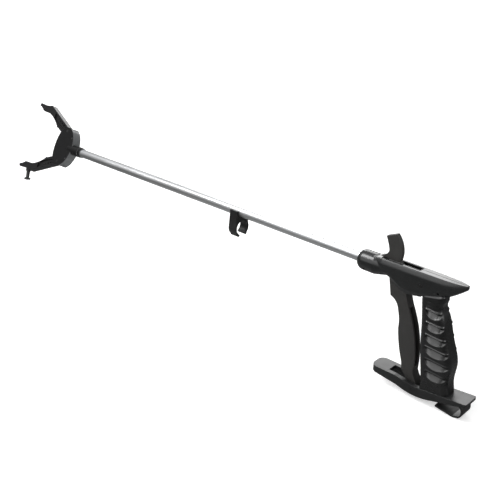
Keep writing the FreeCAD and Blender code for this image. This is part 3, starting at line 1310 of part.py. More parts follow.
def build_fasteners():
    plate_half = d.plate_half_width
    cross_piece("trigger_pin", d.pivot_x, -d.pivot_drop, d.trigger_pin_dia / 2, -plate_half,
                plate_half)
    cross_piece("hull_pin", d.hull_pin_x, -d.hull_pin_drop, d.hull_pin_dia / 2,
                -d.hull_pin_half, d.hull_pin_half)
    screw_across("hull_screw_front", d.hull_screw_front_x, -d.hull_screw_front_drop,
                 d.hull_screw_front_seat, d.hull_screw_reach)
    screw_across("hull_screw_rear", d.hull_screw_rear_x, -d.hull_screw_rear_drop,
                 d.hull_screw_rear_seat, d.hull_screw_reach)
    screw_up("tube_screw", d.tube_screw_x, -d.tube_screw_drop, d.tube_screw_drop - TUBE_BORE)
    screw_up("grip_screw_front", d.grip_screw_front_x, -d.grip_screw_front_drop,
             d.grip_screw_length)
    screw_up("grip_screw_rear", d.grip_screw_rear_x, -d.grip_screw_rear_drop,
             d.grip_screw_length)
    screw_up("belt_clip_screw", PLATE_REAR_X - d.clip_screw_ahead, -d.clip_screw_drop,
             d.clip_screw_length)


def check_and_export():
    """Refuse a failed object or an unsound shape, then write one STEP file for each piece."""
    doc.recompute()
    for item in doc.Objects:
        if "Invalid" in item.State or "Error" in item.State:
            raise RuntimeError(f"{item.Label} failed: {item.State}")
    for piece in PIECES:
        shape = piece.Shape
        if shape.isNull() or not shape.isValid() or shape.Volume <= 0:
            raise RuntimeError(f"{piece.Label} has no sound shape")
    os.makedirs("parts", exist_ok=True)
    for piece in PIECES:
        piece.Shape.exportStep(f"parts/{piece.Label}.step")


build_tube()
build_frame_clip()
build_hull_half("hull_left", -1)
build_hull_half("hull_right", 1)
build_trigger()
build_grip()
build_base_plate()
build_belt_clip()
build_pull_rod()
build_head()
build_crosshead()
build_jaw("upper_jaw", 1)
build_jaw("lower_jaw", -1)
build_peg()
build_spring()
build_fasteners()
check_and_export()
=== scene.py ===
import json
import math

import bpy
import numpy as np
from bpy.props import FloatProperty, FloatVectorProperty, IntProperty, PointerProperty
from bpy.types import Operator, Panel, PropertyGroup
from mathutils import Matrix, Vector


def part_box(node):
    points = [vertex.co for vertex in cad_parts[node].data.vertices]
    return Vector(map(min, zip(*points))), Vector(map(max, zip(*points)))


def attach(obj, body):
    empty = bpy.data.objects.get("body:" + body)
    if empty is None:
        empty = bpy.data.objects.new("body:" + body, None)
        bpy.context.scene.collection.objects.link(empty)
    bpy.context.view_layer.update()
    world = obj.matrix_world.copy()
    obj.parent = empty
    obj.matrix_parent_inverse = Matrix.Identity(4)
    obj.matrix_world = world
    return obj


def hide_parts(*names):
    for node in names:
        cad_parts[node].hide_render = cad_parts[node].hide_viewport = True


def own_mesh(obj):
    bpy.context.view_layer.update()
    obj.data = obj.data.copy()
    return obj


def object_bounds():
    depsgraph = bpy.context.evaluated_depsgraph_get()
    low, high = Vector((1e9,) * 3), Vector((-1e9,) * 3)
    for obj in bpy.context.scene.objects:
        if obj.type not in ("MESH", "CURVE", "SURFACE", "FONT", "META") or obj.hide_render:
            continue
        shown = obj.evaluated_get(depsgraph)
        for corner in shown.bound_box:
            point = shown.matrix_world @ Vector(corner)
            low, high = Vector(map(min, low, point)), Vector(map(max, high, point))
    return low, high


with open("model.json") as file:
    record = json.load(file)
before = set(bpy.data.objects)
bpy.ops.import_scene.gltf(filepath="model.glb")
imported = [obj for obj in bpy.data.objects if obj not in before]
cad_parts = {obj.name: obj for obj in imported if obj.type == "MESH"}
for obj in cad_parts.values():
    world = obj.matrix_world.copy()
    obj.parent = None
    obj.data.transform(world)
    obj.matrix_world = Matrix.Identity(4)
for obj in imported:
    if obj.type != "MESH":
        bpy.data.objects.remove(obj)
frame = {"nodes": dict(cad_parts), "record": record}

bl_info = {
    "name": "Reacher grabber looks",
    "version": (1, 0, 0),
    "blender": (4, 5, 0),
    "location": "3D View > Sidebar > Reacher",
    "description": "Finishes, small trim and a studio stage for a hand-held reacher grabber",
    "category": "Object",
}

# The reacher's tube runs along X with the jaws toward -X; every length is in metres.
MM = 0.001
NODES = frame["nodes"]
CAD_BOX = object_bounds()
RECORD_COLOURS = {row["slot"]: row["base_color"] for row in frame["record"]["materials"]}
NOSE_FRONT_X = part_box("hull_left")[0][0]
DECK_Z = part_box("hull_left")[1][2]
TUBE_Z = sum(corner[2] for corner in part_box("tube")) / 2

# The grip stands between two slanted planes, the base plate's top and the housing's underside.
# Each is given by one point, as x behind the nose and drop below the tube's axis, and a slope.
SOLE_X, SOLE_DROP, SOLE_SLOPE = 92 * MM, 126.44 * MM, 7 / 63
SEAT_X, SEAT_DROP, SEAT_SLOPE = 86 * MM, 15.6 * MM, 7.4 / 34


# ---------------------------------------------------------------- settings

def colour_of(slot, factor=1.0):
    """The record's colour of a material slot, made lighter or darker, as a property's default."""
    return tuple(min(channel * factor, 1.0) for channel in RECORD_COLOURS[slot][:3])


def shade(colour, factor):
    """A colour made lighter or darker, with full opacity."""
    return tuple(min(channel * factor, 1.0) for channel in colour) + (1.0,)


class ReacherFinish(PropertyGroup):
    """Colours and surface sizes of the reacher's materials."""

    housing_colour: FloatVectorProperty(
        name="Housing", description="Colour of the moulded handle, grip, plate and belt clip",
        subtype="COLOR", size=3, min=0, max=1, default=colour_of("black_plastic", 0.6))
    trigger_colour: FloatVectorProperty(
        name="Trigger", description="Colour of the trigger and thumb tab",
        subtype="COLOR", size=3, min=0, max=1, default=colour_of("trigger_plastic", 0.7))
    head_colour: FloatVectorProperty(
        name="Head", description="Colour of the head, jaws, peg and snap clip",
        subtype="COLOR", size=3, min=0, max=1, default=colour_of("head_plastic", 0.3))
    tube_colour: FloatVectorProperty(
        name="Tube", description="Colour of the drawn aluminium tube",
        subtype="COLOR", size=3, min=0, max=1, default=colour_of("satin_aluminium"))
    acetal_colour: FloatVectorProperty(
        name="Acetal", description="Colour of the natural crosshead and rod guides",
        subtype="COLOR", size=3, min=0, max=1, default=colour_of("inner_plastic"))
    steel_colour: FloatVectorProperty(
        name="Steel", description="Colour of the plated rod, ring and spring",
        subtype="COLOR", size=3, min=0, max=1, default=colour_of("steel"))
    magnet_colour: FloatVectorProperty(
        name="Magnet", description="Colour of the nickel-plated magnet",
        subtype="COLOR", size=3, min=0, max=1, default=colour_of("magnet"))
    edge_round: FloatProperty(
        name="Edge rounding", description="Radius by which moulded edges look rounded",
        subtype="DISTANCE", default=0.7 * MM, min=0, max=3 * MM)


class ReacherTrim(PropertyGroup):
    """Sizes of the small trim that is added to the CAD pieces."""

    spring_wire: FloatProperty(
        name="Spring wire", description="Diameter of the return spring's wire",
        subtype="DISTANCE", default=0.8 * MM, min=0.2 * MM, max=2 * MM)
    spring_turns: IntProperty(
        name="Spring turns", description="Number of turns of the return spring",
        default=8, min=3, max=20)
    spring_travel: FloatProperty(
        name="Spring travel", description="How far the full squeeze compresses the return spring",
        subtype="DISTANCE", default=20.9 * MM, min=5 * MM, max=25 * MM)
    bead_radius: FloatProperty(
        name="Slot bead", description="Radius of the raised bead round the deck slot",
        subtype="DISTANCE", default=0.38 * MM, min=0.1 * MM, max=1 * MM)
    rib_first_drop: FloatProperty(
        name="First rib", description="Upper lip of the first grip rib below the tube's axis",
        subtype="DISTANCE", default=27.0 * MM, min=15 * MM, max=60 * MM)
    rib_pitch: FloatProperty(
        name="Rib pitch", description="Spacing of the ribs down the grip",
        subtype="DISTANCE", default=14.4 * MM, min=8 * MM, max=30 * MM)
    rib_count: IntProperty(
        name="Ribs", description="Number of scooped hollows on each side of the grip",
        default=6, min=1, max=10)
    scoop_height: FloatProperty(
        name="Scoop height", description="Height of each hollow between two ribs",
        subtype="DISTANCE", default=9.6 * MM, min=2 * MM, max=14 * MM)
    scoop_fall: FloatProperty(
        name="Scoop fall", description="Fall of each hollow's upper edge to the back",
        subtype="DISTANCE", default=1.8 * MM, min=0, max=6 * MM)
    scoop_depth: FloatProperty(
        name="Scoop depth", description="Depth of each hollow below the grip's side",
        subtype="DISTANCE", default=5.0 * MM, min=0.5 * MM, max=7 * MM)
    scoop_inset: FloatProperty(
        name="Scoop inset", description="Start of each hollow behind the grip's front corner",
        subtype="DISTANCE", default=1.6 * MM, min=0, max=10 * MM)
    lip_height: FloatProperty(
        name="Lip height", description="Height of the thin raised lip over each hollow",
        subtype="DISTANCE", default=1.3 * MM, min=0, max=2 * MM)
    front_corner: FloatProperty(
        name="Front corner", description="Corner radius of the grip's front",
        subtype="DISTANCE", default=5.0 * MM, min=1 * MM, max=9 * MM)
    back_corner: FloatProperty(
        name="Back corner", description="Corner radius of the grip's back",
        subtype="DISTANCE", default=6.5 * MM, min=1 * MM, max=9 * MM)
    slot_half_width: FloatProperty(
        name="Slot half width", description="Half width of the deck slot that the tab moves in",
        subtype="DISTANCE", default=3.3 * MM, min=1 * MM, max=6 * MM)
    slot_front: FloatProperty(
        name="Slot front", description="Front end of the deck slot behind the nose",
        subtype="DISTANCE", default=38.2 * MM, min=20 * MM, max=60 * MM)
    slot_rear: FloatProperty(
        name="Slot rear", description="Rear end of the deck slot behind the nose",
        subtype="DISTANCE", default=79.5 * MM, min=60 * MM, max=110 * MM)


class ReacherStage(PropertyGroup):
    """Camera, lights and floor."""

    camera_place: FloatVectorProperty(
        name="Camera place", description="Where the camera stands",
        subtype="TRANSLATION", size=3, default=(0.6359, -0.6324, 0.3822))
    camera_turn: FloatVectorProperty(
        name="Camera turn", description="The camera's rotation, X, Y and Z",
        subtype="EULER", size=3, default=(math.radians(65.11), 0, math.radians(44.21)))
    lens: FloatProperty(
        name="Lens", description="Focal length on a 36 mm wide sensor, in millimetres",
        default=54.0, min=10, max=300)
    floor_size: FloatProperty(
        name="Floor", description="Width of the pale floor",
        subtype="DISTANCE", default=12.0, min=2, max=50)
    key_power: FloatProperty(
        name="Key light", description="Power of the large soft light in front",
        subtype="POWER", default=12.0, min=0, max=500)
    back_power: FloatProperty(
        name="Back light", description="Power of the wide soft light behind",
        subtype="POWER", default=27.0, min=0, max=500)
    top_power: FloatProperty(
        name="Top light", description="Power of the soft light above the tube",
        subtype="POWER", default=9.0, min=0, max=500)
    side_power: FloatProperty(
        name="Side light", description="Power of the soft light behind the handle",
        subtype="POWER", default=7.0, min=0, max=500)
    low_power: FloatProperty(
        name="Low light", description="Power of the wide soft light low in front of the handle",
        subtype="POWER", default=3.2, min=0, max=500)
    sky_level: FloatProperty(
        name="Sky", description="Brightness of the even light all round",
        default=0.35, min=0, max=3)


# ---------------------------------------------------------------- surfaces

def surface_object(name, points, closed_rows, closed_columns):
    """Mesh of a grid of points, shape (rows, columns, 3).

    Corner (i, j) joins (i + 1, j), (i + 1, j + 1) and (i, j + 1); a closed direction wraps
    round to its first row or column. An open direction of rows is shut by one flat cap at each
    end, so that the surface is watertight.
    """
    rows, columns = points.shape[:2]
    row_count = rows if closed_rows else rows - 1
    column_count = columns if closed_columns else columns - 1
    i, j = np.meshgrid(np.arange(row_count), np.arange(column_count), indexing="ij")
    down, across = (i + 1) % rows, (j + 1) % columns
    quads = np.stack([i * columns + j, i * columns + across,
                      down * columns + across, down * columns + j], axis=-1).reshape(-1, 4)
    faces = quads.tolist()
    if not closed_rows:
        ring = np.arange(columns)
        faces.append(ring[::-1].tolist())
        faces.append((ring + (rows - 1) * columns).tolist())
    mesh = bpy.data.meshes.new(name)
    mesh.from_pydata(points.reshape(-1, 3).tolist(), [], faces)
    mesh.validate()
    mesh.polygons.foreach_set("use_smooth", np.ones(len(mesh.polygons), dtype=bool))
    mesh.update()
    piece = bpy.data.objects.new(name, mesh)
    bpy.context.scene.collection.objects.link(piece)
    return piece


def carried_ring(path, side, up, radius, columns):
    """Round profile carried along a path.

    Ring k is path[k] + radius * (cos t * side[k] + sin t * up[k]), with t once round the circle;
    side x up points along the path, so that the faces look outward.
    """
    angle = np.linspace(0, 2 * np.pi, columns, endpoint=False)
    around = np.cos(angle)[None, :, None] * side[:, None, :]
    around = around + np.sin(angle)[None, :, None] * up[:, None, :]
    return path[:, None, :] + radius * around


def helix_points(start, end, centre_y, centre_z, mean_radius, turns, wire_radius):
    """Round wire on a helix along X, with flattened end turns.

    The centreline at angle a is (x, y + R cos a, z + R sin a). Its x runs evenly between the
    ends, apart from half a turn at each end that lies flat against its seat.
    """
    steps_per_turn = 28
    angle = np.linspace(0, 2 * np.pi * turns, steps_per_turn * turns + 1)
    share = np.clip((angle / (2 * np.pi) - 0.5) / (turns - 1), 0, 1)
    x = start + wire_radius + (end - start - 2 * wire_radius) * share
    outward = np.stack([np.zeros_like(angle), np.cos(angle), np.sin(angle)], axis=1)
    path = np.array([0.0, centre_y, centre_z]) + mean_radius * outward
    path[:, 0] = x
    tangent = np.gradient(path, axis=0)
    tangent /= np.linalg.norm(tangent, axis=1, keepdims=True)
    binormal = np.cross(tangent, outward)
    binormal /= np.linalg.norm(binormal, axis=1, keepdims=True)
    return carried_ring(path, outward, binormal, wire_radius, 14)


def u_bead_points(front_x, rear_x, half_width, corner, z, radius):
    """Half-sunk round bead along a U: back along one side, round the rear end and forward again.

    The centreline is a straight run, a quarter circle, a short run across, a second quarter
    circle and the other straight run, at one height.
    """
    bend = np.linspace(0, np.pi / 2, 9)
    first = np.stack([rear_x - corner + corner * np.sin(bend),
                      half_width - corner + corner * np.cos(bend)], axis=1)
    second = first[::-1] * [1, -1]
    run = np.linspace(front_x, rear_x - corner, 12, endpoint=False)
    left = np.stack([run, np.full_like(run, half_width)], axis=1)
    right = left[::-1] * [1, -1]
    flat = np.concatenate([left, first, second, right])
    path = np.column_stack([flat, np.full(len(flat), z)])
    tangent = np.gradient(path, axis=0)
    tangent /= np.linalg.norm(tangent, axis=1, keepdims=True)
    up = np.tile([0.0, 0.0, 1.0], (len(path), 1))
    side = np.cross(up, tangent)
    return carried_ring(path, side, up, radius, 12)


def grip_profile(heights):
    """Front x, back x and half width of the CAD grip at each height, found with rays.

    The half width is taken ahead of the hollows. It and the back are smoothed by a cosine
    window over 25 heights, so that the neck flares softly.
    """
    grip = NODES["grip"]
    ahead_of_hollows = 7 * MM
    reach = 12
    rows = []
    for z in heights:
        front = grip.ray_cast((-1, 0, z), (1, 0, 0))[1][0]
        back = grip.ray_cast((1, 0, z), (-1, 0, 0))[1][0]
        half = -grip.ray_cast((front + ahead_of_hollows, -1, z), (0, 1, 0))[1][1]
        rows.append((front, back, half))
    front, back, half = np.array(rows).T
    window = np.hanning(2 * reach + 3)[1:-1]
    back, half = (np.convolve(np.pad(values, reach, mode="edge"), window / window.sum(), "valid")
                  for values in (back, half))
    return front, back, half


def bump_at(value, centre, width):
    """Smooth hump of height 1 round a centre."""
    return np.exp(-((value - centre) / width) ** 2)


def scoop_depth_at(run, side_length, z, trim):
    """Depth of the scooped hollows and, below zero, height of the lips over them.

    A hollow hangs from a straight upper edge as a leaf, blunt at the front and pointed at the
    back, with its widest place a third of the way along. Across it, with w from 0 at the upper
    edge to 1 at the lower, the depth rises as a smooth step, 3 e^2 - 2 e^3, over the roof's
    share of the height, and runs out as a slope that steepens, 1 - w^1.6. The first hollows
    are a little smaller, and the lips get lower down the grip.
    """
    widest, roof_share, smallest = 0.32, 0.30, 0.86
    lip_rise, lip_width = 0.9 * MM, 0.8 * MM
    length = side_length + 1.25 * trim.back_corner - trim.scoop_inset
    share = (run - trim.scoop_inset) / length
    blunt = np.sqrt(np.clip(1 - ((widest - share) / widest) ** 2, 0, 1))
    pointed = np.clip(1 - np.clip((share - widest) / (1 - widest), 0, 1) ** 2.4, 0, 1)
    leaf = np.where(share < widest, blunt, pointed)
    depth = np.zeros_like(z)
    for number in range(trim.rib_count):
        roof = TUBE_Z - trim.rib_first_drop - trim.rib_pitch * number - share * trim.scoop_fall
        growth = smallest + (1 - smallest) * min(number, 3) / 3
        down = (roof - z) / (trim.scoop_height * growth * np.maximum(leaf, 1e-3))
        inside = (down > 0) & (down < 1) & (leaf > 0)
        edge = np.clip(down * leaf / roof_share, 0, 1)
        slope = 1 - np.clip(down, 0, 1) ** 1.6
        hollow = edge ** 2 * (3 - 2 * edge) * slope * leaf ** 0.6
        depth += np.where(inside, hollow * trim.scoop_depth * growth, 0)
        fading = np.clip(1.3 - 0.22 * number, 0.45, 1)
        lip = bump_at(z, roof + lip_rise, lip_width) * np.clip(leaf * 1.6, 0, 1)
        depth -= lip * trim.lip_height * fading
    return depth


def neck_ridges_at(share, z):
    """Height of two thin curved ridges on the neck, lowest half way along each side."""
    first_drop, pitch, sag = 16.6 * MM, 3.6 * MM, 2.4 * MM
    ridge_width, ridge_height = 0.8 * MM, 0.3 * MM
    height = np.zeros_like(z)
    for number in range(2):
        curve = TUBE_Z - first_drop - pitch * number - sag * (1 - (2 * share - 1) ** 2)
        ends = np.clip(np.sin(np.pi * share), 0, 1)
        height += bump_at(z, curve, ridge_width) * ridge_height * ends
    return height


def grip_points(trim):
    """Skin of the grip: a rectangle with round corners, carried up between two slanted planes.

    Along half a section run a flat front, a quarter circle of the front radius, the straight
    side, a quarter circle of the back radius and a flat back; the other half is its mirror
    image. Front, back and half width follow the CAD grip at each height, and the sides sink by
    scoop_depth_at along their outward direction. The skin runs up past its seat and narrows
    there, so that its top edge is hidden in the housing.
    """
    past_seat, narrowing = 3.5 * MM, 0.6
    near, far = trim.front_corner, trim.back_corner
    steps = (5, 9, 64, 18, 5)
    lead = [np.linspace(0, 1, count, endpoint=False) for count in steps]
    zero = [np.zeros(count) for count in steps]
    one = [np.ones(count) for count in steps]
    flat_front = np.concatenate([lead[0], one[1], one[2], one[3], one[4], [1]])
    turn_front = np.concatenate([zero[0], lead[1], one[2], one[3], one[4], [1]]) * np.pi / 2
    along = np.concatenate([zero[0], zero[1], lead[2], one[3], one[4], [1]])
    turn_back = np.concatenate([zero[0], zero[1], zero[2], lead[3], one[4], [1]]) * np.pi / 2
    flat_back = np.concatenate([one[0], one[1], one[2], one[3], 1 - lead[4], [0]])
    at_front = along < 0.5

    lowest_ray, highest_ray, ray_step = TUBE_Z - 121 * MM, TUBE_Z - 15.7 * MM, 1 * MM
    heights = np.arange(lowest_ray, highest_ray, ray_step)
    profile = grip_profile(heights)
    rows, first_low, first_rise = 330, TUBE_Z - 126 * MM, 112 * MM
    level = np.linspace(0, 1, rows)[:, None]
    z = np.broadcast_to(first_low + first_rise * level, (rows, len(along)))
    # The slanted ends depend on x, and x on the height, so four rounds settle both.
    for _ in range(4):
        front, back, half = (np.interp(z, heights, values) for values in profile)
        side_length = back - front - near - far
        x = front + near * (1 - np.cos(turn_front)) + along * side_length + far * np.sin(turn_back)
        local = x - NOSE_FRONT_X
        sole = TUBE_Z - SOLE_DROP + (local - SOLE_X) * SOLE_SLOPE
        seat = TUBE_Z - SEAT_DROP + (local - SEAT_X) * SEAT_SLOPE
        z = sole + (seat + past_seat - sole) * level
    wide_front = flat_front * (half - near) + near * np.sin(turn_front)
    wide_back = flat_back * (half - far) + far * np.cos(turn_back)
    y = np.where(at_front, wide_front, wide_back)
    out_x = np.sin(turn_back) - np.cos(turn_front)
    out_y = np.where(at_front, np.sin(turn_front), np.cos(turn_back))
    run = along * side_length + far * turn_back
    sink = scoop_depth_at(run, side_length, z, trim)
    sink = np.where(turn_front < np.pi / 2, 0, sink)
    sink = sink - neck_ridges_at(np.clip(run / side_length, 0, 1), z)
    sink = sink + narrowing * np.clip(z - seat, 0, None)
    x, y = x - out_x * sink, y - out_y * sink
    right = np.stack([x, -y, z], axis=-1)
    left = np.stack([x, y, z], axis=-1)[:, -2:0:-1]
    return np.concatenate([right, left], axis=1)


# ---------------------------------------------------------------- material nodes

def add(tree, kind, inputs=None, **settings):
    """Add a node; inputs that are sockets are linked, other inputs are set."""
    node = tree.nodes.new(f"ShaderNode{kind}")
    for name, value in settings.items():
        setattr(node, name, value)
    for name, value in (inputs or {}).items():
        if isinstance(value, bpy.types.NodeSocket):
            tree.links.new(value, node.inputs[name])
        else:
            node.inputs[name].default_value = value
    return node


def noise(tree, vector, scale, detail=4.0, roughness=0.55):
    """Fractal noise between 0 and 1; the scale counts its waves in a metre."""
    node = add(tree, "TexNoise", {"Vector": vector, "Scale": scale, "Detail": detail,
                                  "Roughness": roughness})
    return node.outputs["Fac"]


def ranged(tree, value, low, high, to_low=0.0, to_high=1.0):
    """The value, mapped from low..high to to_low..to_high and held there."""
    node = add(tree, "MapRange", {"Value": value, "From Min": low, "From Max": high,
                                  "To Min": to_low, "To Max": to_high})
    return node.outputs["Result"]


def combined(tree, operation, first, second):
    """One Math node on two values."""
    node = add(tree, "Math", {0: first, 1: second}, operation=operation)
    return node.outputs[0]


def blended(tree, factor, first, second):
    """Colour between first and second."""
    node = add(tree, "Mix", {0: factor, 6: first, 7: second}, data_type="RGBA")
    return node.outputs[2]


def stretched(tree, place, scale):
    """The place, scaled axis by axis, so that a pattern runs along one of them."""
    return add(tree, "Mapping", {"Vector": place, "Scale": scale}).outputs["Vector"]


def streaks(tree, place, waves, detail, roughness=0.55):
    """Noise that is drawn out; waves counts them in a metre along X, Y and Z."""
    return noise(tree, stretched(tree, place, waves), 1, detail, roughness)


def rounded_normal(tree, radius):
    """A normal that rounds sharp edges, and a mask that is 1 on them."""
    bevel = add(tree, "Bevel", {"Radius": radius}, samples=6).outputs["Normal"]
    flat = add(tree, "NewGeometry").outputs["Normal"]
    dot = add(tree, "VectorMath", {0: bevel, 1: flat}, operation="DOT_PRODUCT")
    return bevel, ranged(tree, dot.outputs["Value"], 0.985, 0.80)


def start_material(name):
    """An empty material with a Principled shader; returns the tree, the shader and the place."""
    material = bpy.data.materials.new(name)
    material.use_nodes = True
    tree = material.node_tree
    tree.nodes.clear()
    shader = add(tree, "BsdfPrincipled")
    output = add(tree, "OutputMaterial")
    tree.links.new(shader.outputs["BSDF"], output.inputs["Surface"])
    place = add(tree, "TexCoord").outputs["Object"]
    return material, tree, shader, place


def bumped(tree, shader, height, strength, distance, normal=None):
    """Feed the shader's normal with a bump, on top of another normal if one is given."""
    node = add(tree, "Bump", {"Height": height, "Strength": strength, "Distance": distance})
    if normal is not None:
        tree.links.new(normal, node.inputs["Normal"])
    tree.links.new(node.outputs["Normal"], shader.inputs["Normal"])


def moulded_plastic(name, colour, roughness, grain, edge_round, wear=0.5, seam=False,
                    gloss=0.5, painted_side_light=0.0):
    """Injection-moulded plastic: fine spark-eroded grain, cloudy gloss, scuffs and worn edges.

    Grain counts its waves in a metre, wear is how pale the rubbed edges get, and gloss is the
    shader's specular level. A seam is the thin parting line where two mouldings meet in the
    middle plane. The last argument is a painted light: the lighter grey painted on the walls
    that face the handle, as where the lamps light them, or 0 for none.
    """
    material, tree, shader, place = start_material(name)
    cloud = noise(tree, place, scale=26, detail=5)
    grains = noise(tree, place, scale=grain, detail=2)
    flow = streaks(tree, place, (18, 60, 60), detail=3)
    scratch = streaks(tree, place, (90, 1300, 900), detail=6, roughness=0.7)
    scuffs = ranged(tree, scratch, 0.62, 0.74)
    normal, edges = rounded_normal(tree, edge_round)
    rubbed = combined(tree, "MULTIPLY", edges, ranged(tree, cloud, 0.35, 0.65, 0.35, 1.0))
    dusty = combined(tree, "MULTIPLY", scuffs, ranged(tree, cloud, 0.45, 0.70, 0.0, 0.55))
    base = blended(tree, cloud, shade(colour, 0.72), shade(colour, 1.35))
    base = blended(tree, combined(tree, "MULTIPLY", dusty, 0.5), base, shade(colour, 3.4))
    base = blended(tree, combined(tree, "MULTIPLY", rubbed, wear), base, shade(colour, 2.6))
    rough = ranged(tree, cloud, 0.25, 0.75, roughness - 0.06, roughness + 0.07)
    rough = combined(tree, "ADD", rough, ranged(tree, flow, 0.3, 0.7, -0.03, 0.03))
    rough = combined(tree, "ADD", rough, combined(tree, "MULTIPLY", dusty, 0.14))
    height = combined(tree, "MULTIPLY", grains, 0.55)
    height = combined(tree, "SUBTRACT", height, combined(tree, "MULTIPLY", scuffs, 0.25))
    if seam:
        core, rim = 0.10 * MM, 0.32 * MM
        across = add(tree, "SeparateXYZ", {"Vector": place}).outputs["Y"]
        across = combined(tree, "ABSOLUTE", across, 0.0)
        line = ranged(tree, across, core, rim, to_low=1, to_high=0)
        base = blended(tree, combined(tree, "MULTIPLY", line, 0.7), base, shade(colour, 0.3))
        height = combined(tree, "SUBTRACT", height, combined(tree, "MULTIPLY", line, 2.0))
    if painted_side_light:
        # Painted light: the walls that face the handle are painted a lighter grey in cloudy
        # patches, as where the lamps light them; they are also made rougher.
        facing = add(tree, "NewGeometry").outputs["Normal"]
        rear = ranged(tree, add(tree, "SeparateXYZ", {"Vector": facing}).outputs["X"], 0.2, 0.6)
        painted_light_mask = combined(tree, "MULTIPLY", rear, ranged(tree, cloud, 0.2, 0.8, 0.7, 1.0))
        painted_light_colour = (painted_side_light, painted_side_light * 1.03, painted_side_light * 1.05, 1)
        base = blended(tree, painted_light_mask, base, painted_light_colour)
        rough = combined(tree, "ADD", rough, combined(tree, "MULTIPLY", rear, 0.12))
    tree.links.new(base, shader.inputs["Base Color"])
    tree.links.new(rough, shader.inputs["Roughness"])
    bumped(tree, shader, height, 0.35, 0.12 * MM, normal)
    shader.inputs["Specular IOR Level"].default_value = gloss
    return material


def drawn_aluminium(name, colour):
    """Satin drawn tube: fine lines along its length, soft smudges and a few cross rubs."""
    material, tree, shader, place = start_material(name)
    lines = streaks(tree, place, (6, 1500, 1500), detail=4, roughness=0.65)
    bands = streaks(tree, place, (2.5, 160, 160), detail=3)
    smudge = noise(tree, place, scale=14, detail=5)
    rubs = streaks(tree, place, (700, 60, 60), detail=5, roughness=0.7)
    rubs = ranged(tree, rubs, 0.66, 0.78)
    base = blended(tree, lines, shade(colour, 0.88), shade(colour, 1.08))
    base = blended(tree, ranged(tree, smudge, 0.5, 0.75, 0, 0.25), base, shade(colour, 0.78))
    rough = ranged(tree, lines, 0.25, 0.75, 0.25, 0.37)
    rough = combined(tree, "ADD", rough, ranged(tree, smudge, 0.45, 0.75, 0.0, 0.09))
    rough = combined(tree, "ADD", rough, combined(tree, "MULTIPLY", rubs, 0.08))
    height = combined(tree, "ADD", lines, combined(tree, "MULTIPLY", bands, 0.6))
    tree.links.new(base, shader.inputs["Base Color"])
    tree.links.new(rough, shader.inputs["Roughness"])
    bumped(tree, shader, height, 0.22, 0.05 * MM)
    shader.inputs["Metallic"].default_value = 1.0
    return material


def plated_steel(name, colour, roughness, edge_round):
    """Zinc or nickel plate: slight crystal clouding, fine handling marks, brighter edges."""
    material, tree, shader, place = start_material(name)
    cloud = noise(tree, place, scale=320, detail=4)
    marks = streaks(tree, place, (260, 2600, 1400), detail=5, roughness=0.7)
    normal, edges = rounded_normal(tree, edge_round)
    base = blended(tree, cloud, shade(colour, 0.82), shade(colour, 1.15))
    base = blended(tree, combined(tree, "MULTIPLY", edges, 0.6), base, shade(colour, 1.45))
    rough = ranged(tree, cloud, 0.2, 0.8, roughness - 0.07, roughness + 0.09)
    rough = combined(tree, "ADD", rough, ranged(tree, marks, 0.55, 0.8, 0.0, 0.12))
    tree.links.new(base, shader.inputs["Base Color"])
    tree.links.new(rough, shader.inputs["Roughness"])
    bumped(tree, shader, marks, 0.18, 0.04 * MM, normal)
    shader.inputs["Metallic"].default_value = 1.0
    return material


def natural_acetal(name, colour, edge_round):
    """Waxy, slightly see-through acetal with faint grey rubbing marks."""
    material, tree, shader, place = start_material(name)
    cloud = noise(tree, place, scale=90, detail=4)
    rub = ranged(tree, streaks(tree, place, (900, 120, 120), detail=5), 0.55, 0.75)
    normal, edges = rounded_normal(tree, edge_round)
    base = blended(tree, cloud, shade(colour, 0.9), shade(colour, 1.1))
    base = blended(tree, combined(tree, "MULTIPLY", rub, 0.4), base, shade(colour, 0.55))
    rough = ranged(tree, cloud, 0.25, 0.75, 0.34, 0.46)
    rough = combined(tree, "ADD", rough, combined(tree, "MULTIPLY", edges, 0.05))
    tree.links.new(base, shader.inputs["Base Color"])
    tree.links.new(rough, shader.inputs["Roughness"])
    bumped(tree, shader, rub, 0.2, 0.05 * MM, normal)
    shader.inputs["Subsurface Weight"].default_value = 0.15
    shader.inputs["Subsurface Radius"].default_value = (1.2 * MM, 1.0 * MM, 0.8 * MM)
    return material


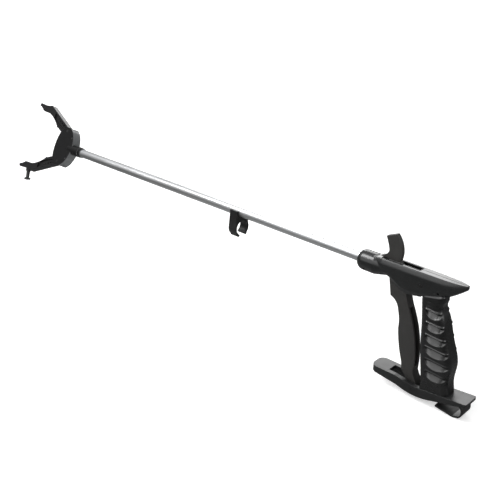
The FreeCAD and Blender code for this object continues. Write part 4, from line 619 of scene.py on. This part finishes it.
def finish_of(name):
    """The named finish, made at its first use."""
    if name in bpy.data.materials:
        return bpy.data.materials[name]
    look = bpy.context.scene.reacher_finish
    edge = look.edge_round
    # The numbers are the roughness, and for mouldings the grain's waves in a metre.
    makers = {
        "housing_gloss": lambda: moulded_plastic(
            name, look.housing_colour, 0.23, 1500, edge, wear=0.35, seam=True),
        # Painted shade: the grip is the housing's plastic, painted at about a third of its colour
        # so that its sides look shaded.
        "grip_gloss": lambda: moulded_plastic(
            name, shade(look.housing_colour, 0.35)[:3], 0.25, 1300, edge, wear=0.5, gloss=0.75),
        "sole_gloss": lambda: moulded_plastic(
            name, look.housing_colour, 0.36, 1100, edge, wear=0.7, gloss=0.45),
        "trigger_matt": lambda: moulded_plastic(
            name, look.trigger_colour, 0.46, 1700, edge, wear=0.6),
        # The head's walls that face the handle get a painted light, a lighter grey.
        "head_satin": lambda: moulded_plastic(
            name, look.head_colour, 0.32, 1500, edge, wear=0.5, gloss=0.2, painted_side_light=0.14),
        "jaw_satin": lambda: moulded_plastic(
            name, look.head_colour, 0.30, 1200, edge * 0.8, wear=0.9, gloss=0.35),
        "clip_satin": lambda: moulded_plastic(
            name, look.head_colour, 0.42, 1400, edge * 0.7, wear=0.8),
        "tube_satin": lambda: drawn_aluminium(name, look.tube_colour),
        "zinc_steel": lambda: plated_steel(name, look.steel_colour, 0.36, 0.15 * MM),
        "blackened_steel": lambda: plated_steel(
            name, shade(look.steel_colour, 0.12)[:3], 0.42, 0.15 * MM),
        "spring_steel": lambda: plated_steel(name, look.steel_colour, 0.24, 0.1 * MM),
        "nickel": lambda: plated_steel(name, look.magnet_colour, 0.2, 0.3 * MM),
        "acetal": lambda: natural_acetal(name, look.acetal_colour, 0.4 * MM),
    }
    return makers[name]()


def dress(finish, *names):
    """Give CAD nodes a finish in their own slots."""
    material = finish_of(finish)
    for name in names:
        for slot in NODES[name].material_slots:
            slot.material = material


# ---------------------------------------------------------------- pieces

class REACHER_OT_tube(Operator):
    """Finish the aluminium tube and the ring that holds the head on it"""

    bl_idname = "reacher.tube"
    bl_label = "Tube"

    def execute(self, context):
        dress("tube_satin", "tube")
        dress("zinc_steel", "retaining_ring")
        return {"FINISHED"}


class REACHER_OT_housing(Operator):
    """Finish the two halves of the housing"""

    bl_idname = "reacher.housing"
    bl_label = "Housing"

    def execute(self, context):
        dress("housing_gloss", "hull_left", "hull_right")
        return {"FINISHED"}


class REACHER_OT_slot_bead(Operator):
    """Add the raised bead round the deck slot"""

    bl_idname = "reacher.slot_bead"
    bl_label = "Slot bead"

    def execute(self, context):
        trim = context.scene.reacher_trim
        radius, corner = trim.bead_radius, 1.2 * MM
        front_x = NOSE_FRONT_X + trim.slot_front
        rear_x = NOSE_FRONT_X + trim.slot_rear + radius
        points = u_bead_points(front_x, rear_x, trim.slot_half_width + radius, corner, DECK_Z,
                               radius)
        bead = surface_object("slot_bead", points, False, True)
        bead.data.materials.append(finish_of("housing_gloss"))
        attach(bead, "handle")
        return {"FINISHED"}


class REACHER_OT_trigger(Operator):
    """Finish the trigger with its thumb tab"""

    bl_idname = "reacher.trigger"
    bl_label = "Trigger"

    def execute(self, context):
        dress("trigger_matt", "trigger")
        return {"FINISHED"}


class REACHER_OT_spring(Operator):
    """Replace the return spring by a round wire with flattened end turns"""

    bl_idname = "reacher.spring"
    bl_label = "Return spring"

    def execute(self, context):
        trim = context.scene.reacher_trim
        low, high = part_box("return_spring")
        wire = trim.spring_wire / 2
        centre_y, centre_z = (low[1] + high[1]) / 2, (low[2] + high[2]) / 2
        mean_radius = (high[2] - low[2]) / 2 - wire
        points = helix_points(low[0], high[0], centre_y, centre_z, mean_radius,
                              trim.spring_turns, wire)
        spring = surface_object("spring_wire", points, False, True)
        spring.data.materials.append(finish_of("spring_steel"))
        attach(spring, "handle")
        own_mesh(spring)
        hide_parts("return_spring")
        return {"FINISHED"}


class REACHER_OT_grip(Operator):
    """Replace the pistol grip by a skin with scooped hollows between its ribs"""

    bl_idname = "reacher.grip"
    bl_label = "Grip"

    def execute(self, context):
        points = grip_points(context.scene.reacher_trim)
        skin = surface_object("grip_skin", points, False, True)
        skin.data.materials.append(finish_of("grip_gloss"))
        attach(skin, "handle")
        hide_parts("grip")
        return {"FINISHED"}


class REACHER_OT_sole(Operator):
    """Finish the base plate and the belt clip under it"""

    bl_idname = "reacher.sole"
    bl_label = "Base plate and belt clip"

    def execute(self, context):
        dress("sole_gloss", "base_plate", "belt_clip")
        return {"FINISHED"}


class REACHER_OT_frame_clip(Operator):
    """Finish the snap clip for a walking aid's tube"""

    bl_idname = "reacher.frame_clip"
    bl_label = "Snap clip"

    def execute(self, context):
        dress("clip_satin", "frame_clip")
        return {"FINISHED"}


class REACHER_OT_pull_rod(Operator):
    """Finish the pull rod with its guides, button and eye"""

    bl_idname = "reacher.pull_rod"
    bl_label = "Pull rod"

    def execute(self, context):
        dress("zinc_steel", "pull_rod", "swivel_button", "rod_eye")
        dress("acetal", "rod_guide_front", "rod_guide_rear")
        return {"FINISHED"}


class REACHER_OT_head(Operator):
    """Finish the turning head and its collar"""

    bl_idname = "reacher.head"
    bl_label = "Head"

    def execute(self, context):
        dress("head_satin", "head_shell_left", "head_shell_right", "head_collar")
        return {"FINISHED"}


class REACHER_OT_jaws(Operator):
    """Finish the two jaws and the crosshead that draws them"""

    bl_idname = "reacher.jaws"
    bl_label = "Jaws and crosshead"

    def execute(self, context):
        dress("jaw_satin", "upper_jaw", "lower_jaw")
        dress("acetal", "crosshead")
        return {"FINISHED"}


class REACHER_OT_peg(Operator):
    """Finish the dressing peg and the magnet in its foot"""

    bl_idname = "reacher.peg"
    bl_label = "Dressing peg and magnet"

    def execute(self, context):
        dress("jaw_satin", "dressing_peg")
        dress("nickel", "magnet")
        return {"FINISHED"}


class REACHER_OT_fasteners(Operator):
    """Finish the pins and screws"""

    bl_idname = "reacher.fasteners"
    bl_label = "Pins and screws"

    def execute(self, context):
        names = [name for name in NODES if "screw" in name or "_pin" in name]
        dress("blackened_steel", *names)
        return {"FINISHED"}


# ---------------------------------------------------------------- stage

def area_lamp(name, place, target, size, power):
    """A square soft lamp at a place, turned to the target."""
    data = bpy.data.lights.new(name, "AREA")
    data.shape = "SQUARE"
    data.size = size
    data.energy = power
    lamp = bpy.data.objects.new(name, data)
    away = np.asarray(place, dtype=float) - np.asarray(target, dtype=float)
    pitch = math.atan2(math.hypot(away[0], away[1]), away[2])
    lamp.location = place
    lamp.rotation_euler = (pitch, 0, math.atan2(away[0], -away[1]))
    bpy.context.scene.collection.objects.link(lamp)


def seen_by_camera_or_mirror(tree):
    """Two masks: rays that come straight or clear through from the camera, and glossy rays."""
    path = add(tree, "LightPath")
    first = combined(tree, "MAXIMUM", path.outputs["Is Camera Ray"],
                     path.outputs["Is Transmission Ray"])
    return first, path.outputs["Is Glossy Ray"]


def pale_world(level):
    """White for the camera, pale above and grey low down for gloss, and even light otherwise."""
    world = bpy.data.worlds.new("studio")
    bpy.context.scene.world = world
    world.use_nodes = True
    tree = world.node_tree
    tree.nodes.clear()
    direction = add(tree, "TexCoord").outputs["Generated"]
    height = add(tree, "SeparateXYZ", {"Vector": direction}).outputs["Z"]
    band = ranged(tree, height, 0.25, 0.80, to_low=0.34, to_high=0.80)
    camera, glossy = seen_by_camera_or_mirror(tree)
    strength = add(tree, "Mix", {0: glossy, 2: level, 3: band}, data_type="FLOAT").outputs[0]
    strength = add(tree, "Mix", {0: camera, 2: strength, 3: 1.0}, data_type="FLOAT").outputs[0]
    back = add(tree, "Background", {"Color": (1, 1, 1, 1), "Strength": strength})
    output = add(tree, "OutputWorld")
    tree.links.new(back.outputs["Background"], output.inputs["Surface"])


def pale_floor(size, z):
    """Large matt floor; it looks near white to the camera and keeps the object's soft shadow."""
    half = size / 2
    corners = [(-half, -half, z), (half, -half, z), (half, half, z), (-half, half, z)]
    mesh = bpy.data.meshes.new("floor")
    mesh.from_pydata(corners, [], [(0, 1, 2, 3)])
    floor = bpy.data.objects.new("floor", mesh)
    bpy.context.scene.collection.objects.link(floor)
    material, tree, shader, place = start_material("floor_paper")
    fibres = noise(tree, place, scale=40, detail=5)
    tone = blended(tree, fibres, (0.80, 0.80, 0.80, 1), (0.84, 0.84, 0.84, 1))
    shader.inputs["Roughness"].default_value = 0.9
    shader.inputs["Specular IOR Level"].default_value = 0.1
    camera, glossy = seen_by_camera_or_mirror(tree)
    shader.inputs["Emission Color"].default_value = (1, 1, 1, 1)
    # The distance from the middle, halved along the tube, fades both the glow that whitens the
    # floor for the camera and the brightness that glossy pieces see in it.
    away = add(tree, "VectorMath", {0: stretched(tree, place, (0.5, 1, 1))}, operation="LENGTH")
    away = away.outputs["Value"]
    whitening = ranged(tree, away, 0.25, 1.0, to_low=0.45, to_high=1.0)
    glow = combined(tree, "MULTIPLY", camera, whitening)
    tree.links.new(glow, shader.inputs["Emission Strength"])
    mirrored = ranged(tree, away, 0.10, 0.32, to_low=0.34, to_high=0.12)
    dimming = combined(tree, "MULTIPLY", glossy, combined(tree, "SUBTRACT", 1.0, mirrored))
    dimmed = blended(tree, dimming, tone, (0, 0, 0, 1))
    tree.links.new(dimmed, shader.inputs["Base Color"])
    mesh.materials.append(material)


class REACHER_OT_stage(Operator):
    """Add the camera, soft lights, white surroundings and the pale floor"""

    bl_idname = "reacher.stage"
    bl_label = "Stage"

    def execute(self, context):
        stage = context.scene.reacher_stage
        scene = context.scene
        scene.view_settings.view_transform = "Standard"
        data = bpy.data.cameras.new("camera")
        data.lens = stage.lens
        data.sensor_width = 36.0
        data.clip_start = 0.01
        camera = bpy.data.objects.new("camera", data)
        camera.location = stage.camera_place
        camera.rotation_euler = stage.camera_turn
        scene.collection.objects.link(camera)
        scene.camera = camera
        middle = (np.asarray(CAD_BOX[0]) + np.asarray(CAD_BOX[1])) / 2
        handle = middle + (0.35, 0, 0)
        for name, target, offset, size, power in (
                ("key", middle, (0.9, -1.7, 1.5), 1.4, stage.key_power),
                ("back", middle, (-1.1, 1.9, 1.15), 1.3, stage.back_power),
                ("top", handle, (-0.75, -0.42, 0.88), 0.5, stage.top_power),
                ("side", middle, (1.9, 0.3, 0.7), 0.8, stage.side_power),
                ("low", handle, (-0.46, -1.04, 0.60), 0.9, stage.low_power)):
            area_lamp(name, target + offset, target, size, power)
        pale_world(stage.sky_level)
        pale_floor(stage.floor_size, CAD_BOX[0][2] - 0.5 * MM)
        return {"FINISHED"}


# ---------------------------------------------------------------- add-on

class REACHER_PT_panel(Panel):
    """Lists the settings and the steps that dress the reacher"""

    bl_idname = "REACHER_PT_panel"
    bl_label = "Reacher"
    bl_space_type = "VIEW_3D"
    bl_region_type = "UI"
    bl_category = "Reacher"

    def draw(self, context):
        layout = self.layout
        for group in (context.scene.reacher_finish, context.scene.reacher_trim,
                      context.scene.reacher_stage):
            box = layout.box()
            for name in group.__annotations__:
                box.prop(group, name)
        for step in STEPS:
            layout.operator(step.bl_idname)


SETTINGS = (("reacher_finish", ReacherFinish), ("reacher_trim", ReacherTrim),
            ("reacher_stage", ReacherStage))
STEPS = (REACHER_OT_tube, REACHER_OT_housing, REACHER_OT_slot_bead, REACHER_OT_trigger,
         REACHER_OT_spring, REACHER_OT_grip, REACHER_OT_sole, REACHER_OT_frame_clip,
         REACHER_OT_pull_rod, REACHER_OT_head, REACHER_OT_jaws, REACHER_OT_peg,
         REACHER_OT_fasteners, REACHER_OT_stage)


def register():
    """Register the settings, the steps and the panel."""
    for name, group in SETTINGS:
        bpy.utils.register_class(group)
        setattr(bpy.types.Scene, name, PointerProperty(type=group))
    for step in STEPS:
        bpy.utils.register_class(step)
    bpy.utils.register_class(REACHER_PT_panel)


def unregister():
    """Take everything back that register added."""
    bpy.utils.unregister_class(REACHER_PT_panel)
    for step in reversed(STEPS):
        bpy.utils.unregister_class(step)
    for name, group in reversed(SETTINGS):
        delattr(bpy.types.Scene, name)
        bpy.utils.unregister_class(group)


def main():
    """Run the steps in order."""
    register()
    for step in STEPS:
        group, action = step.bl_idname.split(".")
        getattr(getattr(bpy.ops, group), action)()


if __name__ == "__main__":
    main()
